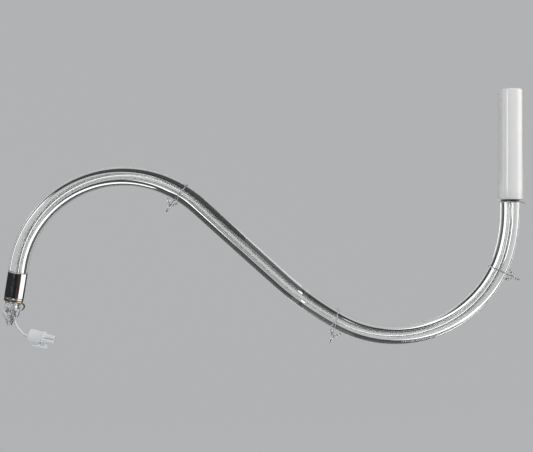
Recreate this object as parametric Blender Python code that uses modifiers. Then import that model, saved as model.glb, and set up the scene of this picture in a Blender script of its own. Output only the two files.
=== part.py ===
"""An S-shaped arm of clear glass tube for a chandelier, with the pieces that it carries.

The hub end, on the left, has a chrome ferrule, a clear lead boot and a short white lead that
ends in a two-way connector. The free end, on the right, stands upright and carries a lamp
under a white candle sleeve. Three wire hoops with crystal beads grip the tube, and a fourth
plain hoop rings its upper end. Metres and degrees, +Z up. The arm lies in the XZ plane, and
the origin is the middle of the seat washer's lower face, where the arm meets its hub.
"""

import math

import bmesh
import bpy
from mathutils import Matrix, Vector

# ---------------------------------------------------------------- fits
FIT = 0.0003  # gap between pieces that touch or slide
WIRE_ROOM = 0.00035  # gap round a wire in a bead's hole
WELD = 0.000001

# ---------------------------------------------------------------- glass tube
TUBE_DIAMETER = 0.0200  # at both ends
TUBE_MID_DIAMETER = 0.0188  # halfway, where the hot tube was drawn thinner
BORE_DIAMETER = 0.0050
HUB_LEAN = 9.0  # the ferrule's axis leans this far from upright
HUB_STRAIGHT = 0.008
SHOULDER_RADIUS, SHOULDER_TURN = 0.110, 102.5
SHOULDER_EASE_RADIUS, SHOULDER_EASE_TURN = 0.124, 20.5
SLOPE_LENGTH = 0.112
BELLY_EASE_RADIUS, BELLY_EASE_TURN = 0.325, 14.0
BELLY_RADIUS, BELLY_TURN = 0.119, 104.0
RISER_RADIUS = 0.160  # turns the tube upright, whatever turn is left
RISER_STRAIGHT = 0.010
STATION_TURN = 5.5  # degrees of bend between two rings of the tube
RIM_ROUND = 0.0012

# ---------------------------------------------------------------- hub end, along the ferrule's axis
FERRULE_LENGTH = 0.0258
FERRULE_WALL = 0.0007
FERRULE_FLOOR = 0.0012
SEAT_WASHER_RADIUS, SEAT_WASHER_THICKNESS = 0.0099, 0.0012
SEAT_RECESS_DEPTH = 0.00015  # of the washer's underside, over the collar
END_RING_HEIGHT, END_RING_HOLE_RADIUS = 0.0021, 0.0070
COLLAR_RADIUS, COLLAR_HEIGHT = 0.0080, 0.0063
COLLAR_NECK_RADIUS, COLLAR_BORE_RADIUS = 0.0046, 0.0019
HUB_NUT_CORNER_RADIUS, HUB_NUT_HEIGHT = 0.0075, 0.0022
GASKET_THICKNESS, GASKET_HOLE_RADIUS = 0.0010, 0.0055
TAB_WIDTH, TAB_THICKNESS = 0.0034, 0.0010
# half outline of the gathered boot, from its mouth under the collar down to its end
BOOT_OUTLINE = (
    (0.0082, 0.0000), (0.0098, -0.0022), (0.0096, -0.0052), (0.0083, -0.0092),
    (0.0064, -0.0130), (0.0046, -0.0164), (0.0031, -0.0186), (0.0000, -0.0192),
)

# ---------------------------------------------------------------- lead and connector
LEAD_DIAMETER = 0.0024
LEAD_ROOM = 0.0006  # gap round the lead inside the boot
LEAD_STEP = 0.0030
# the lead's route in the XZ plane, chosen by hand: straight out of the collar, down, then right
LEAD_ROUTE = (
    (-0.00108, -0.00682), (-0.00152, -0.00958), (-0.00085, -0.01290), (0.00045, -0.01640),
    (0.00135, -0.02000), (0.00260, -0.02360), (0.00430, -0.02690), (0.00640, -0.02980),
    (0.00870, -0.03240), (0.01070, -0.03430), (0.01283, -0.03551), (0.01528, -0.03599),
)
CONNECTOR_PLACE = (0.01510, -0.03850)  # X and Z of the foot of the housing's rear face
CONNECTOR_DIP = 11.0  # degrees below level that the nose points
# side outline of the housing's body, from there; x towards the nose, z up
BODY_OUTLINE = (
    (0.0000, 0.0042), (0.0018, 0.0105), (0.0174, 0.0096),
    (0.0164, -0.0012), (0.0025, -0.0029), (-0.0002, 0.0002),
)
BODY_WIDTH = 0.0074
FLANGE_START, FLANGE_PROUD = 0.0142, 0.0004
NOSE_START, NOSE_END = 0.0160, 0.0280
NOSE_BOTTOM, NOSE_TOP, NOSE_SLIT, NOSE_WIDTH = -0.0005, 0.0079, 0.0008, 0.0050
CONTACT_RADIUS, CONTACT_START, CONTACT_END = 0.00105, 0.0080, 0.0262
LATCH_WIDTH, LATCH_BAR = 0.0036, 0.0021
LATCH_TAIL, LATCH_NOSE = 0.0059, 0.0217
LATCH_BAR_TOP, LATCH_HOOK_TOP, LATCH_HOOK_START = -0.0051, -0.0019, 0.0193
LATCH_PIVOT = (0.0133, -0.0016)
LATCH_STEM_HALF, LATCH_STEM_TOP = 0.0011, -0.0021

# ---------------------------------------------------------------- lamp and candle, above the tube's end
BASE_DISC_RADIUS, BASE_DISC_THICKNESS = 0.0093, 0.0014
NIPPLE_ROOM = 0.00045  # gap between the nipple and the tube's bore
NIPPLE_BORE_RADIUS, NIPPLE_DEPTH, NIPPLE_TOP = 0.00135, 0.0070, 0.0090
LAMP_NUT_CORNER_RADIUS, LAMP_NUT_HEIGHT = 0.0042, 0.0024
SLEEVE_DIAMETER, SLEEVE_WALL, SLEEVE_LENGTH = 0.0260, 0.0015, 0.1148
SLEEVE_START = 0.0021  # the sleeve's mouth, above the tube's end
SLEEVE_ROOF, SLEEVE_EDGE = 0.0018, 0.0016
SPACER_THICKNESS = 0.0016
GRIP_START, GRIP_HEIGHT = 0.0062, 0.0040
POST_CORNER_RADIUS = 0.0052
POST_ROOM = 0.000375  # gap between the nipple and the flats of the post's bore
STRIP_WIDTH, STRIP_THICKNESS, STRIP_START = 0.0060, 0.0010, 0.0125
CHIP_COUNT, CHIP_WIDTH, CHIP_HEIGHT, CHIP_PROUD = 8, 0.0028, 0.0035, 0.0007

# ---------------------------------------------------------------- feed wires
FEED_RADIUS = 0.0004
FEED_ROOM = 0.0004  # gap between a wire and the bore
FEED_PINCH = 0.0006  # distance from the tube's centreline at the ends
FEED_EASE = 0.025  # length over which the wires part

# ---------------------------------------------------------------- hoops
HOOP_WIRE_RADIUS = 0.0004
HOOP_ROOM = 0.0009  # gap between the tube and a hoop
HOOP_PLACES = (0.2232, 0.4406, 0.6324)  # along the tube from the ferrule's mouth
HOOP_LEANS = (10.0, -18.0, 0.0)  # degrees that each hoop's wire leans along the tube
HOOP_ROLLS = (0.0, 0.0, 26.0)  # degrees that each hoop is rolled round the tube, towards -Y
HOOP_JOIN_GAPS = (0.008121, 0.008213, 0.007762)  # from the glass to where the wires are twisted together
HOOP_ARM_REACH, HOOP_ARM_RISE = 0.0056, 0.0063  # of an arm's tip, along the tube and back towards it
HOOP_STEPS = 24
BEAD_RADIUS, BEAD_END_RADIUS, BEAD_LENGTH, BEAD_BELT = 0.0016, 0.00115, 0.0029, 0.0010
BEAD_SIDES = 8
BEAD_FIRST, BEAD_PITCH = 0.0031, 0.0033  # along an arm from the join
APEX_BEAD_DROP, TAIL_LENGTH = 0.0022, 0.0047
POINT_TOP, POINT_LENGTH, POINT_RADIUS, POINT_SOCKET = 0.0039, 0.0036, 0.00125, 0.0012
CUP_HOOP_WIRE_RADIUS, CUP_HOOP_DROP = 0.0005, 0.0007
CUP_HOOP_TAIL = ((0.0007, 0.0000), (0.0032, -0.0007), (0.0066, -0.0021))  # out and up from the hoop's wire

ROUND_STEPS = 28

PARTS = "candle_arm"
CUTTERS = "cutters"


# ================================================================ small tools
def clear_scene():
    for thing in list(bpy.data.objects):
        bpy.data.objects.remove(thing)


def collection(name):
    made = bpy.data.collections.new(name)
    bpy.context.scene.collection.children.link(made)
    return made


def finish(name, colour, roughness, metallic=0.0, transmission=0.0):
    """A Principled material of this colour."""
    material = bpy.data.materials.new(name)
    material.use_nodes = True
    shader = material.node_tree.nodes["Principled BSDF"]
    shader.inputs["Base Color"].default_value = (*colour, 1.0)
    shader.inputs["Roughness"].default_value = roughness
    shader.inputs["Metallic"].default_value = metallic
    shader.inputs["Transmission Weight"].default_value = transmission
    return material


def add(name, data, group, material=None, parent=None):
    """A new object with this data, in the named collection."""
    made = bpy.data.objects.new(name, data)
    bpy.data.collections[group].objects.link(made)
    made.parent = parent
    if material:
        data.materials.append(material)
    if group == CUTTERS:
        made.hide_render = True
        made.display_type = "WIRE"
    return made


def frame_at(name, place, turn):
    """An empty at this place, turned about +Y; pieces are laid out in its axes."""
    made = bpy.data.objects.new(name, None)
    bpy.data.collections[PARTS].objects.link(made)
    made.location = place
    made.rotation_euler = (0.0, math.radians(turn), 0.0)
    return made


def turned(name, profile, material, parent=None, steps=ROUND_STEPS, closed=True, group=PARTS):
    """A turned piece: (radius, height) points down its outer side, swept round Z."""
    mesh = bpy.data.meshes.new(name)
    bm = bmesh.new()
    points = [bm.verts.new((radius, 0.0, height)) for radius, height in profile]
    for first, second in zip(points, points[1:]):
        bm.edges.new((first, second))
    if closed:
        bm.edges.new((points[-1], points[0]))
    bm.to_mesh(mesh)
    bm.free()
    made = add(name, mesh, group, material, parent)
    screw = made.modifiers.new("turn", "SCREW")
    screw.steps = screw.render_steps = steps
    screw.use_merge_vertices = True
    screw.merge_threshold = 0.00001
    screw.use_smooth_shade = steps > 12
    return made


def ring(outer, inner, low, high):
    """Profile of a plain ring, down its outer side."""
    return ((outer, high), (outer, low), (inner, low), (inner, high))


def tube(name, path, radius, material, parent=None, sides=8, factors=None, cyclic=False, group=PARTS):
    """A round tube or wire along the path; factors scale its radius at each point."""
    data = bpy.data.curves.new(name, "CURVE")
    data.dimensions = "3D"
    data.bevel_depth = radius
    data.bevel_resolution = (sides - 4) // 2
    data.use_fill_caps = not cyclic
    spline = data.splines.new("POLY")
    spline.points.add(len(path) - 1)
    for index, place in enumerate(path):
        spline.points[index].co = (*place, 1.0)
        if factors:
            spline.points[index].radius = factors[index]
    spline.use_cyclic_u = cyclic
    return add(name, data, group, material, parent)


def plate(name, outline, width, material, parent=None, group=PARTS):
    """A flat outline of (x, z) points, as thick as width, centred on the XZ plane."""
    data = bpy.data.curves.new(name, "CURVE")
    data.dimensions = "2D"
    data.fill_mode = "BOTH"
    data.extrude = width / 2
    spline = data.splines.new("POLY")
    spline.points.add(len(outline) - 1)
    for index, (x, z) in enumerate(outline):
        spline.points[index].co = (x, z, 0.0, 1.0)
    spline.use_cyclic_u = True
    made = add(name, data, group, material, parent)
    made.rotation_euler = (math.radians(90.0), 0.0, 0.0)
    return made


def as_mesh(source):
    """The curve object as a mesh object of the same name and place, with its caps welded."""
    bpy.context.view_layer.update()
    shown = source.evaluated_get(bpy.context.evaluated_depsgraph_get())
    mesh = bpy.data.meshes.new_from_object(shown)
    bm = bmesh.new()
    bm.from_mesh(mesh)
    bmesh.ops.remove_doubles(bm, verts=bm.verts, dist=WELD)
    bmesh.ops.recalc_face_normals(bm, faces=bm.faces)
    bm.to_mesh(mesh)
    bm.free()
    name, parent, place = source.name, source.parent, source.matrix_world.copy()
    group = source.users_collection[0].name
    bpy.data.objects.remove(source)
    made = add(name, mesh, group, None, parent)
    made.matrix_world = place
    return made


def block(name, low, high, material, parent=None, group=PARTS):
    """A box between two corners."""
    mesh = bpy.data.meshes.new(name)
    bm = bmesh.new()
    add_box(bm, low, high)
    bm.to_mesh(mesh)
    bm.free()
    return add(name, mesh, group, material, parent)


def add_box(bm, low, high):
    low, high = Vector(low), Vector(high)
    verts = bmesh.ops.create_cube(bm, size=1.0)["verts"]
    bmesh.ops.scale(bm, vec=high - low, verts=verts)
    bmesh.ops.translate(bm, vec=(low + high) / 2, verts=verts)


def combine(target, tool, operation):
    """Join the tool to the target, or cut it away, with a live Boolean."""
    step = target.modifiers.new(tool.name, "BOOLEAN")
    step.operation = operation
    step.object = tool
    step.solver = "EXACT"


# ================================================================ the tube's centreline
def arm_runs():
    """(length, curvature) of the straights and arcs, from the ferrule's mouth to the upper end."""
    left = 90.0 - (90.0 - HUB_LEAN - SHOULDER_TURN - SHOULDER_EASE_TURN + BELLY_EASE_TURN + BELLY_TURN)
    arcs = (
        (-SHOULDER_RADIUS, SHOULDER_TURN),
        (-SHOULDER_EASE_RADIUS, SHOULDER_EASE_TURN),
        None,
        (BELLY_EASE_RADIUS, BELLY_EASE_TURN),
        (BELLY_RADIUS, BELLY_TURN),
        (RISER_RADIUS, left),
    )
    runs = [(HUB_STRAIGHT, 0.0)]
    for arc in arcs:
        if arc:
            runs.append((abs(arc[0]) * math.radians(arc[1]), 1.0 / arc[0]))
        else:
            runs.append((SLOPE_LENGTH, 0.0))
    return runs + [(RISER_STRAIGHT, 0.0)]


def arm_length():
    return sum(length for length, _ in arm_runs())


def arm_at(distance):
    """(point, heading) of the centreline at a distance from the ferrule's mouth, straight past both ends."""
    heading = math.radians(90.0 - HUB_LEAN)
    x, z = ferrule_mouth() * math.cos(heading), ferrule_mouth() * math.sin(heading)
    runs = arm_runs() if distance > 0 else []
    for length, curvature in runs:
        step = min(length, distance)
        if curvature:
            after = heading + curvature * step
            x += (math.sin(after) - math.sin(heading)) / curvature
            z -= (math.cos(after) - math.cos(heading)) / curvature
            heading = after
        else:
            x += step * math.cos(heading)
            z += step * math.sin(heading)
        distance -= step
        if distance <= 0:
            break
    x += distance * math.cos(heading)
    z += distance * math.sin(heading)
    return Vector((x, 0.0, z)), heading


def arm_stations():
    """Distances of the tube's rings: the ends of every run, and steps within the bends."""
    stations, start = [0.0], 0.0
    for length, curvature in arm_runs():
        turn = abs(math.degrees(length * curvature))
        count = max(1, round(turn / STATION_TURN))
        stations += [start + length * (step + 1) / count for step in range(count)]
        start += length
    return stations


def tube_radius(distance):
    """The tube's outer radius, which narrows smoothly to the middle of the arm."""
    share = min(1.0, max(0.0, distance / arm_length()))
    thinning = math.sin(math.pi * share) ** 2
    return (TUBE_DIAMETER - (TUBE_DIAMETER - TUBE_MID_DIAMETER) * thinning) / 2


# heights along the ferrule's axis, from the seat washer's lower face
def end_ring_low():
    return SEAT_WASHER_THICKNESS + FIT


def ferrule_low():
    return end_ring_low() + END_RING_HEIGHT + FIT


def ferrule_mouth():
    return ferrule_low() + FERRULE_LENGTH


def hub_nut_low():
    return ferrule_low() + FERRULE_FLOOR + FIT


def gasket_low():
    return hub_nut_low() + HUB_NUT_HEIGHT + FIT


def glass_low():
    return gasket_low() + GASKET_THICKNESS + FIT


def spigot_radius():
    """The glass inside the ferrule is ground down, so that the ferrule is flush with the tube."""
    return TUBE_DIAMETER / 2 - FERRULE_WALL - FIT


def neck_hole_radius():
    return COLLAR_NECK_RADIUS + FIT


def nipple_radius():
    return BORE_DIAMETER / 2 - NIPPLE_ROOM


def post_bore_radius():
    """The hexagonal bore of the post clears the nipple at its flats."""
    return (nipple_radius() + POST_ROOM) / math.cos(math.radians(30.0))


# ================================================================ pieces of the arm
def make_glass_arm(glass):
    """The thick tube: ground at the hub end, rounded at the rim, and bored from end to end."""
    full = tube_radius(0.0)
    below = ferrule_mouth() - glass_low()
    profile = [(-below, spigot_radius()), (FIT, spigot_radius()), (2 * FIT, full)]
    profile += [(place, tube_radius(place)) for place in arm_stations()[1:-1]]
    end = arm_length()
    profile += [
        (end - RIM_ROUND, full),
        (end - RIM_ROUND * 0.35, full - RIM_ROUND * 0.35),
        (end, full - RIM_ROUND),
    ]
    path = [arm_at(place)[0] for place, _ in profile]
    factors = [radius / full for _, radius in profile]
    arm = as_mesh(tube("glass_arm", path, full, glass, sides=20, factors=factors))
    beyond = 0.002
    bored = [-below - beyond, *arm_stations(), end + beyond]
    bore_path = [arm_at(place)[0] for place in bored]
    bore = as_mesh(tube("bore", bore_path, BORE_DIAMETER / 2, None, sides=12, group=CUTTERS))
    combine(arm, bore, "DIFFERENCE")
    for face in arm.data.polygons:
        face.use_smooth = True
    return arm


def make_feed_wires(insulation):
    """Two thin wires through the bore, side by side, drawn together at the nipple and the collar."""
    start = -(ferrule_mouth() + COLLAR_HEIGHT + FIT - 0.0004)
    end = arm_length() + NIPPLE_TOP + 0.0020
    inner = [place for place in arm_stations() if FEED_EASE < place < arm_length() - FEED_EASE]
    lower = [FEED_EASE * share for share in (-0.7, -0.35, 0.0, 0.35, 0.7, 1.0)]
    upper = [arm_length() - FEED_EASE * share - NIPPLE_DEPTH for share in (1.0, 0.7, 0.35, 0.0)]
    inner = [place for place in inner if place < upper[0]]
    places = [start, *lower, *inner, *upper, end]
    for name, side in (("feed_wire_upper", 1.0), ("feed_wire_lower", -1.0)):
        path = []
        for place in places:
            point, heading = arm_at(place)
            across = Vector((-math.sin(heading), 0.0, math.cos(heading)))
            path.append(point + across * side * feed_offset(place))
        tube(name, path, FEED_RADIUS, insulation, sides=6)


def feed_offset(place):
    """How far a feed wire runs from the centreline: apart in the tube, together at its ends."""
    from_hub = (place + 0.7 * FEED_EASE) / (1.7 * FEED_EASE)
    from_end = (arm_length() - NIPPLE_DEPTH - place) / FEED_EASE
    share = min(1.0, max(0.0, min(from_hub, from_end)))
    ease = share * share * (3.0 - 2.0 * share)
    spread = BORE_DIAMETER / 2 - FEED_RADIUS - FEED_ROOM
    return FEED_PINCH + (spread - FEED_PINCH) * ease


# ================================================================ hub end
def make_hub_end(hub, chrome, brass, clear, silicone, nylon):
    outer = TUBE_DIAMETER / 2
    inner = outer - FERRULE_WALL
    low, high = ferrule_low(), ferrule_mouth()
    floor = low + FERRULE_FLOOR
    bevel = 0.0003
    ferrule = (
        (outer, high), (outer, low + bevel), (outer - bevel, low),
        (neck_hole_radius(), low), (neck_hole_radius(), floor), (inner, floor), (inner, high),
    )
    turned("hub_ferrule", ferrule, chrome, hub, steps=32)

    base, height = end_ring_low(), END_RING_HEIGHT
    bead = [(outer - 0.0006, base + height)]
    for angle in (60, 20, -20, -60):
        turn = math.radians(angle)
        bead.append((outer - 0.0006 + 0.0006 * math.cos(turn), base + height / 2 * (1 + math.sin(turn))))
    bead += [(outer - 0.0006, base), (END_RING_HOLE_RADIUS, base), (END_RING_HOLE_RADIUS, base + height)]
    turned("ferrule_end_ring", bead, chrome, hub)

    seat_inner = COLLAR_RADIUS + FIT
    washer = (
        (SEAT_WASHER_RADIUS, SEAT_WASHER_THICKNESS), (SEAT_WASHER_RADIUS, 0.0), (seat_inner, 0.0),
        (seat_inner, SEAT_RECESS_DEPTH), (neck_hole_radius(), SEAT_RECESS_DEPTH),
        (neck_hole_radius(), SEAT_WASHER_THICKNESS),
    )
    turned("seat_washer", washer, brass, hub)

    nut_hole = neck_hole_radius() / math.cos(math.radians(30.0))
    nut = ring(HUB_NUT_CORNER_RADIUS, nut_hole, hub_nut_low(), hub_nut_low() + HUB_NUT_HEIGHT)
    turned("hub_nut", nut, brass, hub, steps=6)

    gasket = ring(spigot_radius(), GASKET_HOLE_RADIUS, gasket_low(), gasket_low() + GASKET_THICKNESS)
    turned("glass_gasket", gasket, silicone, hub, steps=20)

    top = -FIT
    neck_top = gasket_low() + GASKET_THICKNESS / 2
    collar = (
        (COLLAR_NECK_RADIUS, neck_top), (COLLAR_NECK_RADIUS, top), (COLLAR_RADIUS, top),
        (COLLAR_RADIUS, top - COLLAR_HEIGHT), (COLLAR_BORE_RADIUS, top - COLLAR_HEIGHT),
        (COLLAR_BORE_RADIUS, neck_top),
    )
    turned("hub_collar", collar, clear, hub, steps=20)
    make_earth_tab(hub, brass)
    make_boot(hub, clear)


def make_earth_tab(hub, brass):
    """A bent brass tab beside the collar, hooked round under the seat washer's edge."""
    outside = (
        (SEAT_WASHER_RADIUS - 0.0014, -FIT), (SEAT_WASHER_RADIUS + 0.0012, -0.0010),
        (SEAT_WASHER_RADIUS + 0.0026, -0.0032), (SEAT_WASHER_RADIUS + 0.0024, -0.0056),
        (SEAT_WASHER_RADIUS + 0.0006, -0.0084),
    )
    path = [Vector((x, 0.0, z)) for x, z in outside]
    outline = list(outside)
    for index in range(len(path) - 1, -1, -1):
        before, after = path[max(0, index - 1)], path[min(len(path) - 1, index + 1)]
        along = (after - before).normalized()
        inner = path[index] + Vector((along.z, 0.0, -along.x)) * TAB_THICKNESS
        if index == 0:
            inner = Vector((outside[0][0], 0.0, -FIT - TAB_THICKNESS))
        outline.append((inner.x, inner.z))
    plate("earth_tab", outline, TAB_WIDTH, brass, hub)


def lead_path():
    """The lead's route, smoothed by a curve through its points, straight at both ends."""
    route = [Vector((x, 0.0, z)) for x, z in LEAD_ROUTE]
    path = [route[0]]
    for index in range(1, len(route) - 2):
        before, first, second, after = route[index - 1 : index + 3]
        count = max(1, round((second - first).length / LEAD_STEP))
        for step in range(count):
            t = step / count
            path.append(
                0.5 * (2 * first + (second - before) * t
                       + (2 * before - 5 * first + 4 * second - after) * t * t
                       + (3 * first - before - 3 * second + after) * t ** 3)
            )
    return path + route[-2:]


def make_boot(hub, clear):
    """The clear sleeve gathered round the lead's root, with a way through for the lead."""
    mouth = -FIT - COLLAR_HEIGHT - FIT
    outline = [(radius, mouth + height) for radius, height in BOOT_OUTLINE]
    boot = turned("lead_boot", [(0.0, mouth), *outline], clear, hub, steps=11, closed=False)
    path = lead_path()
    above = path[0] + (path[0] - path[1])
    way = as_mesh(tube("lead_way", [above, *path], LEAD_DIAMETER / 2 + LEAD_ROOM, None, group=CUTTERS))
    combine(boot, way, "DIFFERENCE")


def make_lead(white):
    tube("supply_lead", lead_path(), LEAD_DIAMETER / 2, white, sides=8)


# ================================================================ connector
def make_connector(white, metal):
    entry = frame_at("connector_frame", (CONNECTOR_PLACE[0], 0.0, CONNECTOR_PLACE[1]), CONNECTOR_DIP)
    housing = as_mesh(plate("connector_housing", BODY_OUTLINE, BODY_WIDTH, white, entry))
    housing.data.materials.append(white)
    half = BODY_WIDTH / 2 + FLANGE_PROUD
    low, high = BODY_OUTLINE[3][1], BODY_OUTLINE[2][1]
    joined = [
        block("flange", (FLANGE_START, -half, low), (BODY_OUTLINE[2][0] - 0.0004, half, high + FLANGE_PROUD),
              None, entry, CUTTERS)
    ]
    middle = (NOSE_BOTTOM + NOSE_TOP) / 2
    silos = (
        ("upper", middle + NOSE_SLIT / 2, NOSE_TOP),
        ("lower", NOSE_BOTTOM, middle - NOSE_SLIT / 2),
    )
    for label, bottom, top in silos:
        joined.append(
            block(f"silo_{label}", (NOSE_START, -NOSE_WIDTH / 2, bottom), (NOSE_END, NOSE_WIDTH / 2, top),
                  None, entry, CUTTERS)
        )
    for piece in joined:
        combine(housing, piece, "UNION")
    for label, bottom, top in silos:
        centre = (bottom + top) / 2
        room = CONTACT_RADIUS + FIT
        cavity = as_mesh(
            tube(f"cavity_{label}",
                 [(CONTACT_START - 0.001, 0.0, centre), (NOSE_END + 0.001, 0.0, centre)],
                 room, None, entry, sides=12, group=CUTTERS)
        )
        combine(housing, cavity, "DIFFERENCE")
        contact = tube(
            f"contact_{label}",
            [(x, 0.0, centre) for x in (CONTACT_START, CONTACT_END - 0.0012, CONTACT_END)],
            CONTACT_RADIUS, metal, entry, sides=10, factors=[1.0, 1.0, 0.45],
        )
        contact.data.use_fill_caps = True
    make_latch(entry, white)


def make_latch(entry, white):
    """The rocking latch under the housing; its origin is on its pivot."""
    pivot_x, pivot_z = LATCH_PIVOT
    bar_low = LATCH_BAR_TOP - LATCH_BAR
    outline = (
        (LATCH_TAIL, LATCH_BAR_TOP), (LATCH_TAIL, bar_low + 0.0006), (LATCH_TAIL + 0.0012, bar_low),
        (LATCH_NOSE - 0.0003, bar_low), (LATCH_NOSE, bar_low + 0.0005), (LATCH_NOSE, LATCH_HOOK_TOP - 0.0007),
        (LATCH_NOSE - 0.0009, LATCH_HOOK_TOP), (LATCH_HOOK_START, LATCH_HOOK_TOP),
        (LATCH_HOOK_START - 0.0006, LATCH_BAR_TOP + 0.0002),
        (pivot_x + LATCH_STEM_HALF, LATCH_BAR_TOP), (pivot_x + LATCH_STEM_HALF, LATCH_STEM_TOP),
        (pivot_x - LATCH_STEM_HALF, LATCH_STEM_TOP), (pivot_x - LATCH_STEM_HALF, LATCH_BAR_TOP),
    )
    latch = plate("connector_latch", [(x - pivot_x, z - pivot_z) for x, z in outline], LATCH_WIDTH, white, entry)
    latch.location = (pivot_x, 0.0, pivot_z)


# ================================================================ lamp and candle sleeve
def sleeve_top():
    return SLEEVE_START + SLEEVE_LENGTH


def make_lamp(cup, dark, brass, aluminium, board, chip, silicone):
    """Everything that stands on the tube's end, inside the sleeve."""
    low = FIT
    hole = nipple_radius() + FIT
    turned("lamp_base_disc", ring(BASE_DISC_RADIUS, hole, low, low + BASE_DISC_THICKNESS), dark, cup)
    turned("lamp_nipple", ring(nipple_radius(), NIPPLE_BORE_RADIUS, -NIPPLE_DEPTH, NIPPLE_TOP), brass, cup, steps=16)

    nut_low = low + BASE_DISC_THICKNESS + FIT
    nut_hole = hole / math.cos(math.radians(30.0))
    turned("lamp_nut", ring(LAMP_NUT_CORNER_RADIUS, nut_hole, nut_low, nut_low + LAMP_NUT_HEIGHT), brass, cup, steps=6)

    post_low = nut_low + LAMP_NUT_HEIGHT + FIT
    post_high = sleeve_top() - SLEEVE_ROOF - 2 * FIT - SPACER_THICKNESS
    turned("lamp_post", ring(POST_CORNER_RADIUS, post_bore_radius(), post_low, post_high), aluminium, cup, steps=6)

    inside = SLEEVE_DIAMETER / 2 - SLEEVE_WALL - FIT
    grip_hole = POST_CORNER_RADIUS + FIT
    turned("sleeve_grip", ring(inside, grip_hole, GRIP_START, GRIP_START + GRIP_HEIGHT), silicone, cup)
    spacer = ((0.0, post_high + FIT + SPACER_THICKNESS), (inside - 0.0003, post_high + FIT + SPACER_THICKNESS),
              (inside, post_high + FIT + SPACER_THICKNESS / 2), (inside - 0.0003, post_high + FIT),
              (0.0, post_high + FIT))
    turned("top_spacer", spacer, silicone, cup, closed=False)
    make_strips(cup, board, chip, post_high)


def make_strips(cup, board, chip, post_high):
    """A narrow circuit board on the front flat of the post, and one on the back."""
    flat = POST_CORNER_RADIUS * math.cos(math.radians(30.0)) + FIT
    strip_top = post_high - 0.0020
    pitch = (strip_top - STRIP_START) / CHIP_COUNT
    for name, side in (("led_strip_front", -1.0), ("led_strip_back", 1.0)):
        near, far = sorted((side * flat, side * (flat + STRIP_THICKNESS)))
        strip = block(name, (-STRIP_WIDTH / 2, near, STRIP_START), (STRIP_WIDTH / 2, far, strip_top), board, cup)
        mesh = bpy.data.meshes.new(name + "_chips")
        bm = bmesh.new()
        near, far = sorted((side * (flat + STRIP_THICKNESS / 2), side * (flat + STRIP_THICKNESS + CHIP_PROUD)))
        for index in range(CHIP_COUNT):
            middle = STRIP_START + pitch * (index + 0.5)
            add_box(bm, (-CHIP_WIDTH / 2, near, middle - CHIP_HEIGHT / 2),
                    (CHIP_WIDTH / 2, far, middle + CHIP_HEIGHT / 2))
        bm.to_mesh(mesh)
        bm.free()
        combine(strip, add(name + "_chips", mesh, CUTTERS, chip, cup), "UNION")


def make_sleeve(cup, opal):
    """The white candle: a tube closed by a slightly domed roof, open below."""
    outer, top = SLEEVE_DIAMETER / 2, sleeve_top()
    inner = outer - SLEEVE_WALL
    profile = [(0.0, top), (outer - 2.2 * SLEEVE_EDGE, top - 0.0002)]
    for angle in (65, 40, 15):
        turn = math.radians(angle)
        profile.append((outer - SLEEVE_EDGE * (1 - math.cos(turn)), top - 0.0003 - SLEEVE_EDGE * (1 - math.sin(turn))))
    profile += [
        (outer, SLEEVE_START), (inner, SLEEVE_START), (inner, top - SLEEVE_ROOF), (0.0, top - SLEEVE_ROOF),
    ]
    turned("candle_sleeve", profile, opal, cup, steps=32, closed=False)


# ================================================================ hoops
def make_hoop(number, place, lean, roll, gap, metal, crystal):
    """A wire hoop round the tube, twisted together below it, with beads on two short arms."""
    point, heading = arm_at(place)
    frame = frame_at(f"hoop_{number}_frame", point, -math.degrees(heading))
    frame.rotation_euler = (
        frame.rotation_euler.to_matrix() @ Matrix.Rotation(math.radians(-roll), 3, "X")
    ).to_euler()
    join = tube_radius(place) + gap
    wire = make_hoop_wire(number, frame, tube_radius(place), join, lean, metal)
    arm = Vector((HOOP_ARM_REACH, 0.0, HOOP_ARM_RISE)).normalized()
    tilt = math.atan2(arm.x, arm.z)
    mesh = bead_mesh(f"hoop_{number}_bead", crystal)
    count = 0
    for side in (-1.0, 1.0):
        for step in range(2):
            along = BEAD_FIRST + BEAD_PITCH * step
            place_bead(number, count, mesh, frame, (side * arm.x * along, 0.0, arm.z * along - join), side * tilt)
            count += 1
    place_bead(number, count, mesh, frame, (0.0, 0.0, -join - APEX_BEAD_DROP), 0.0)
    point_profile = (
        (0.0, -POINT_SOCKET), (HOOP_WIRE_RADIUS + WIRE_ROOM, -POINT_SOCKET), (HOOP_WIRE_RADIUS + WIRE_ROOM, 0.0),
        (POINT_RADIUS * 0.85, 0.0), (POINT_RADIUS, -POINT_LENGTH * 0.25), (0.0, -POINT_LENGTH),
    )
    drop = turned(f"hoop_{number}_point", point_profile, crystal, frame, steps=6, closed=False)
    drop.location = (0.0, 0.0, -join - POINT_TOP)
    return wire


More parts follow.
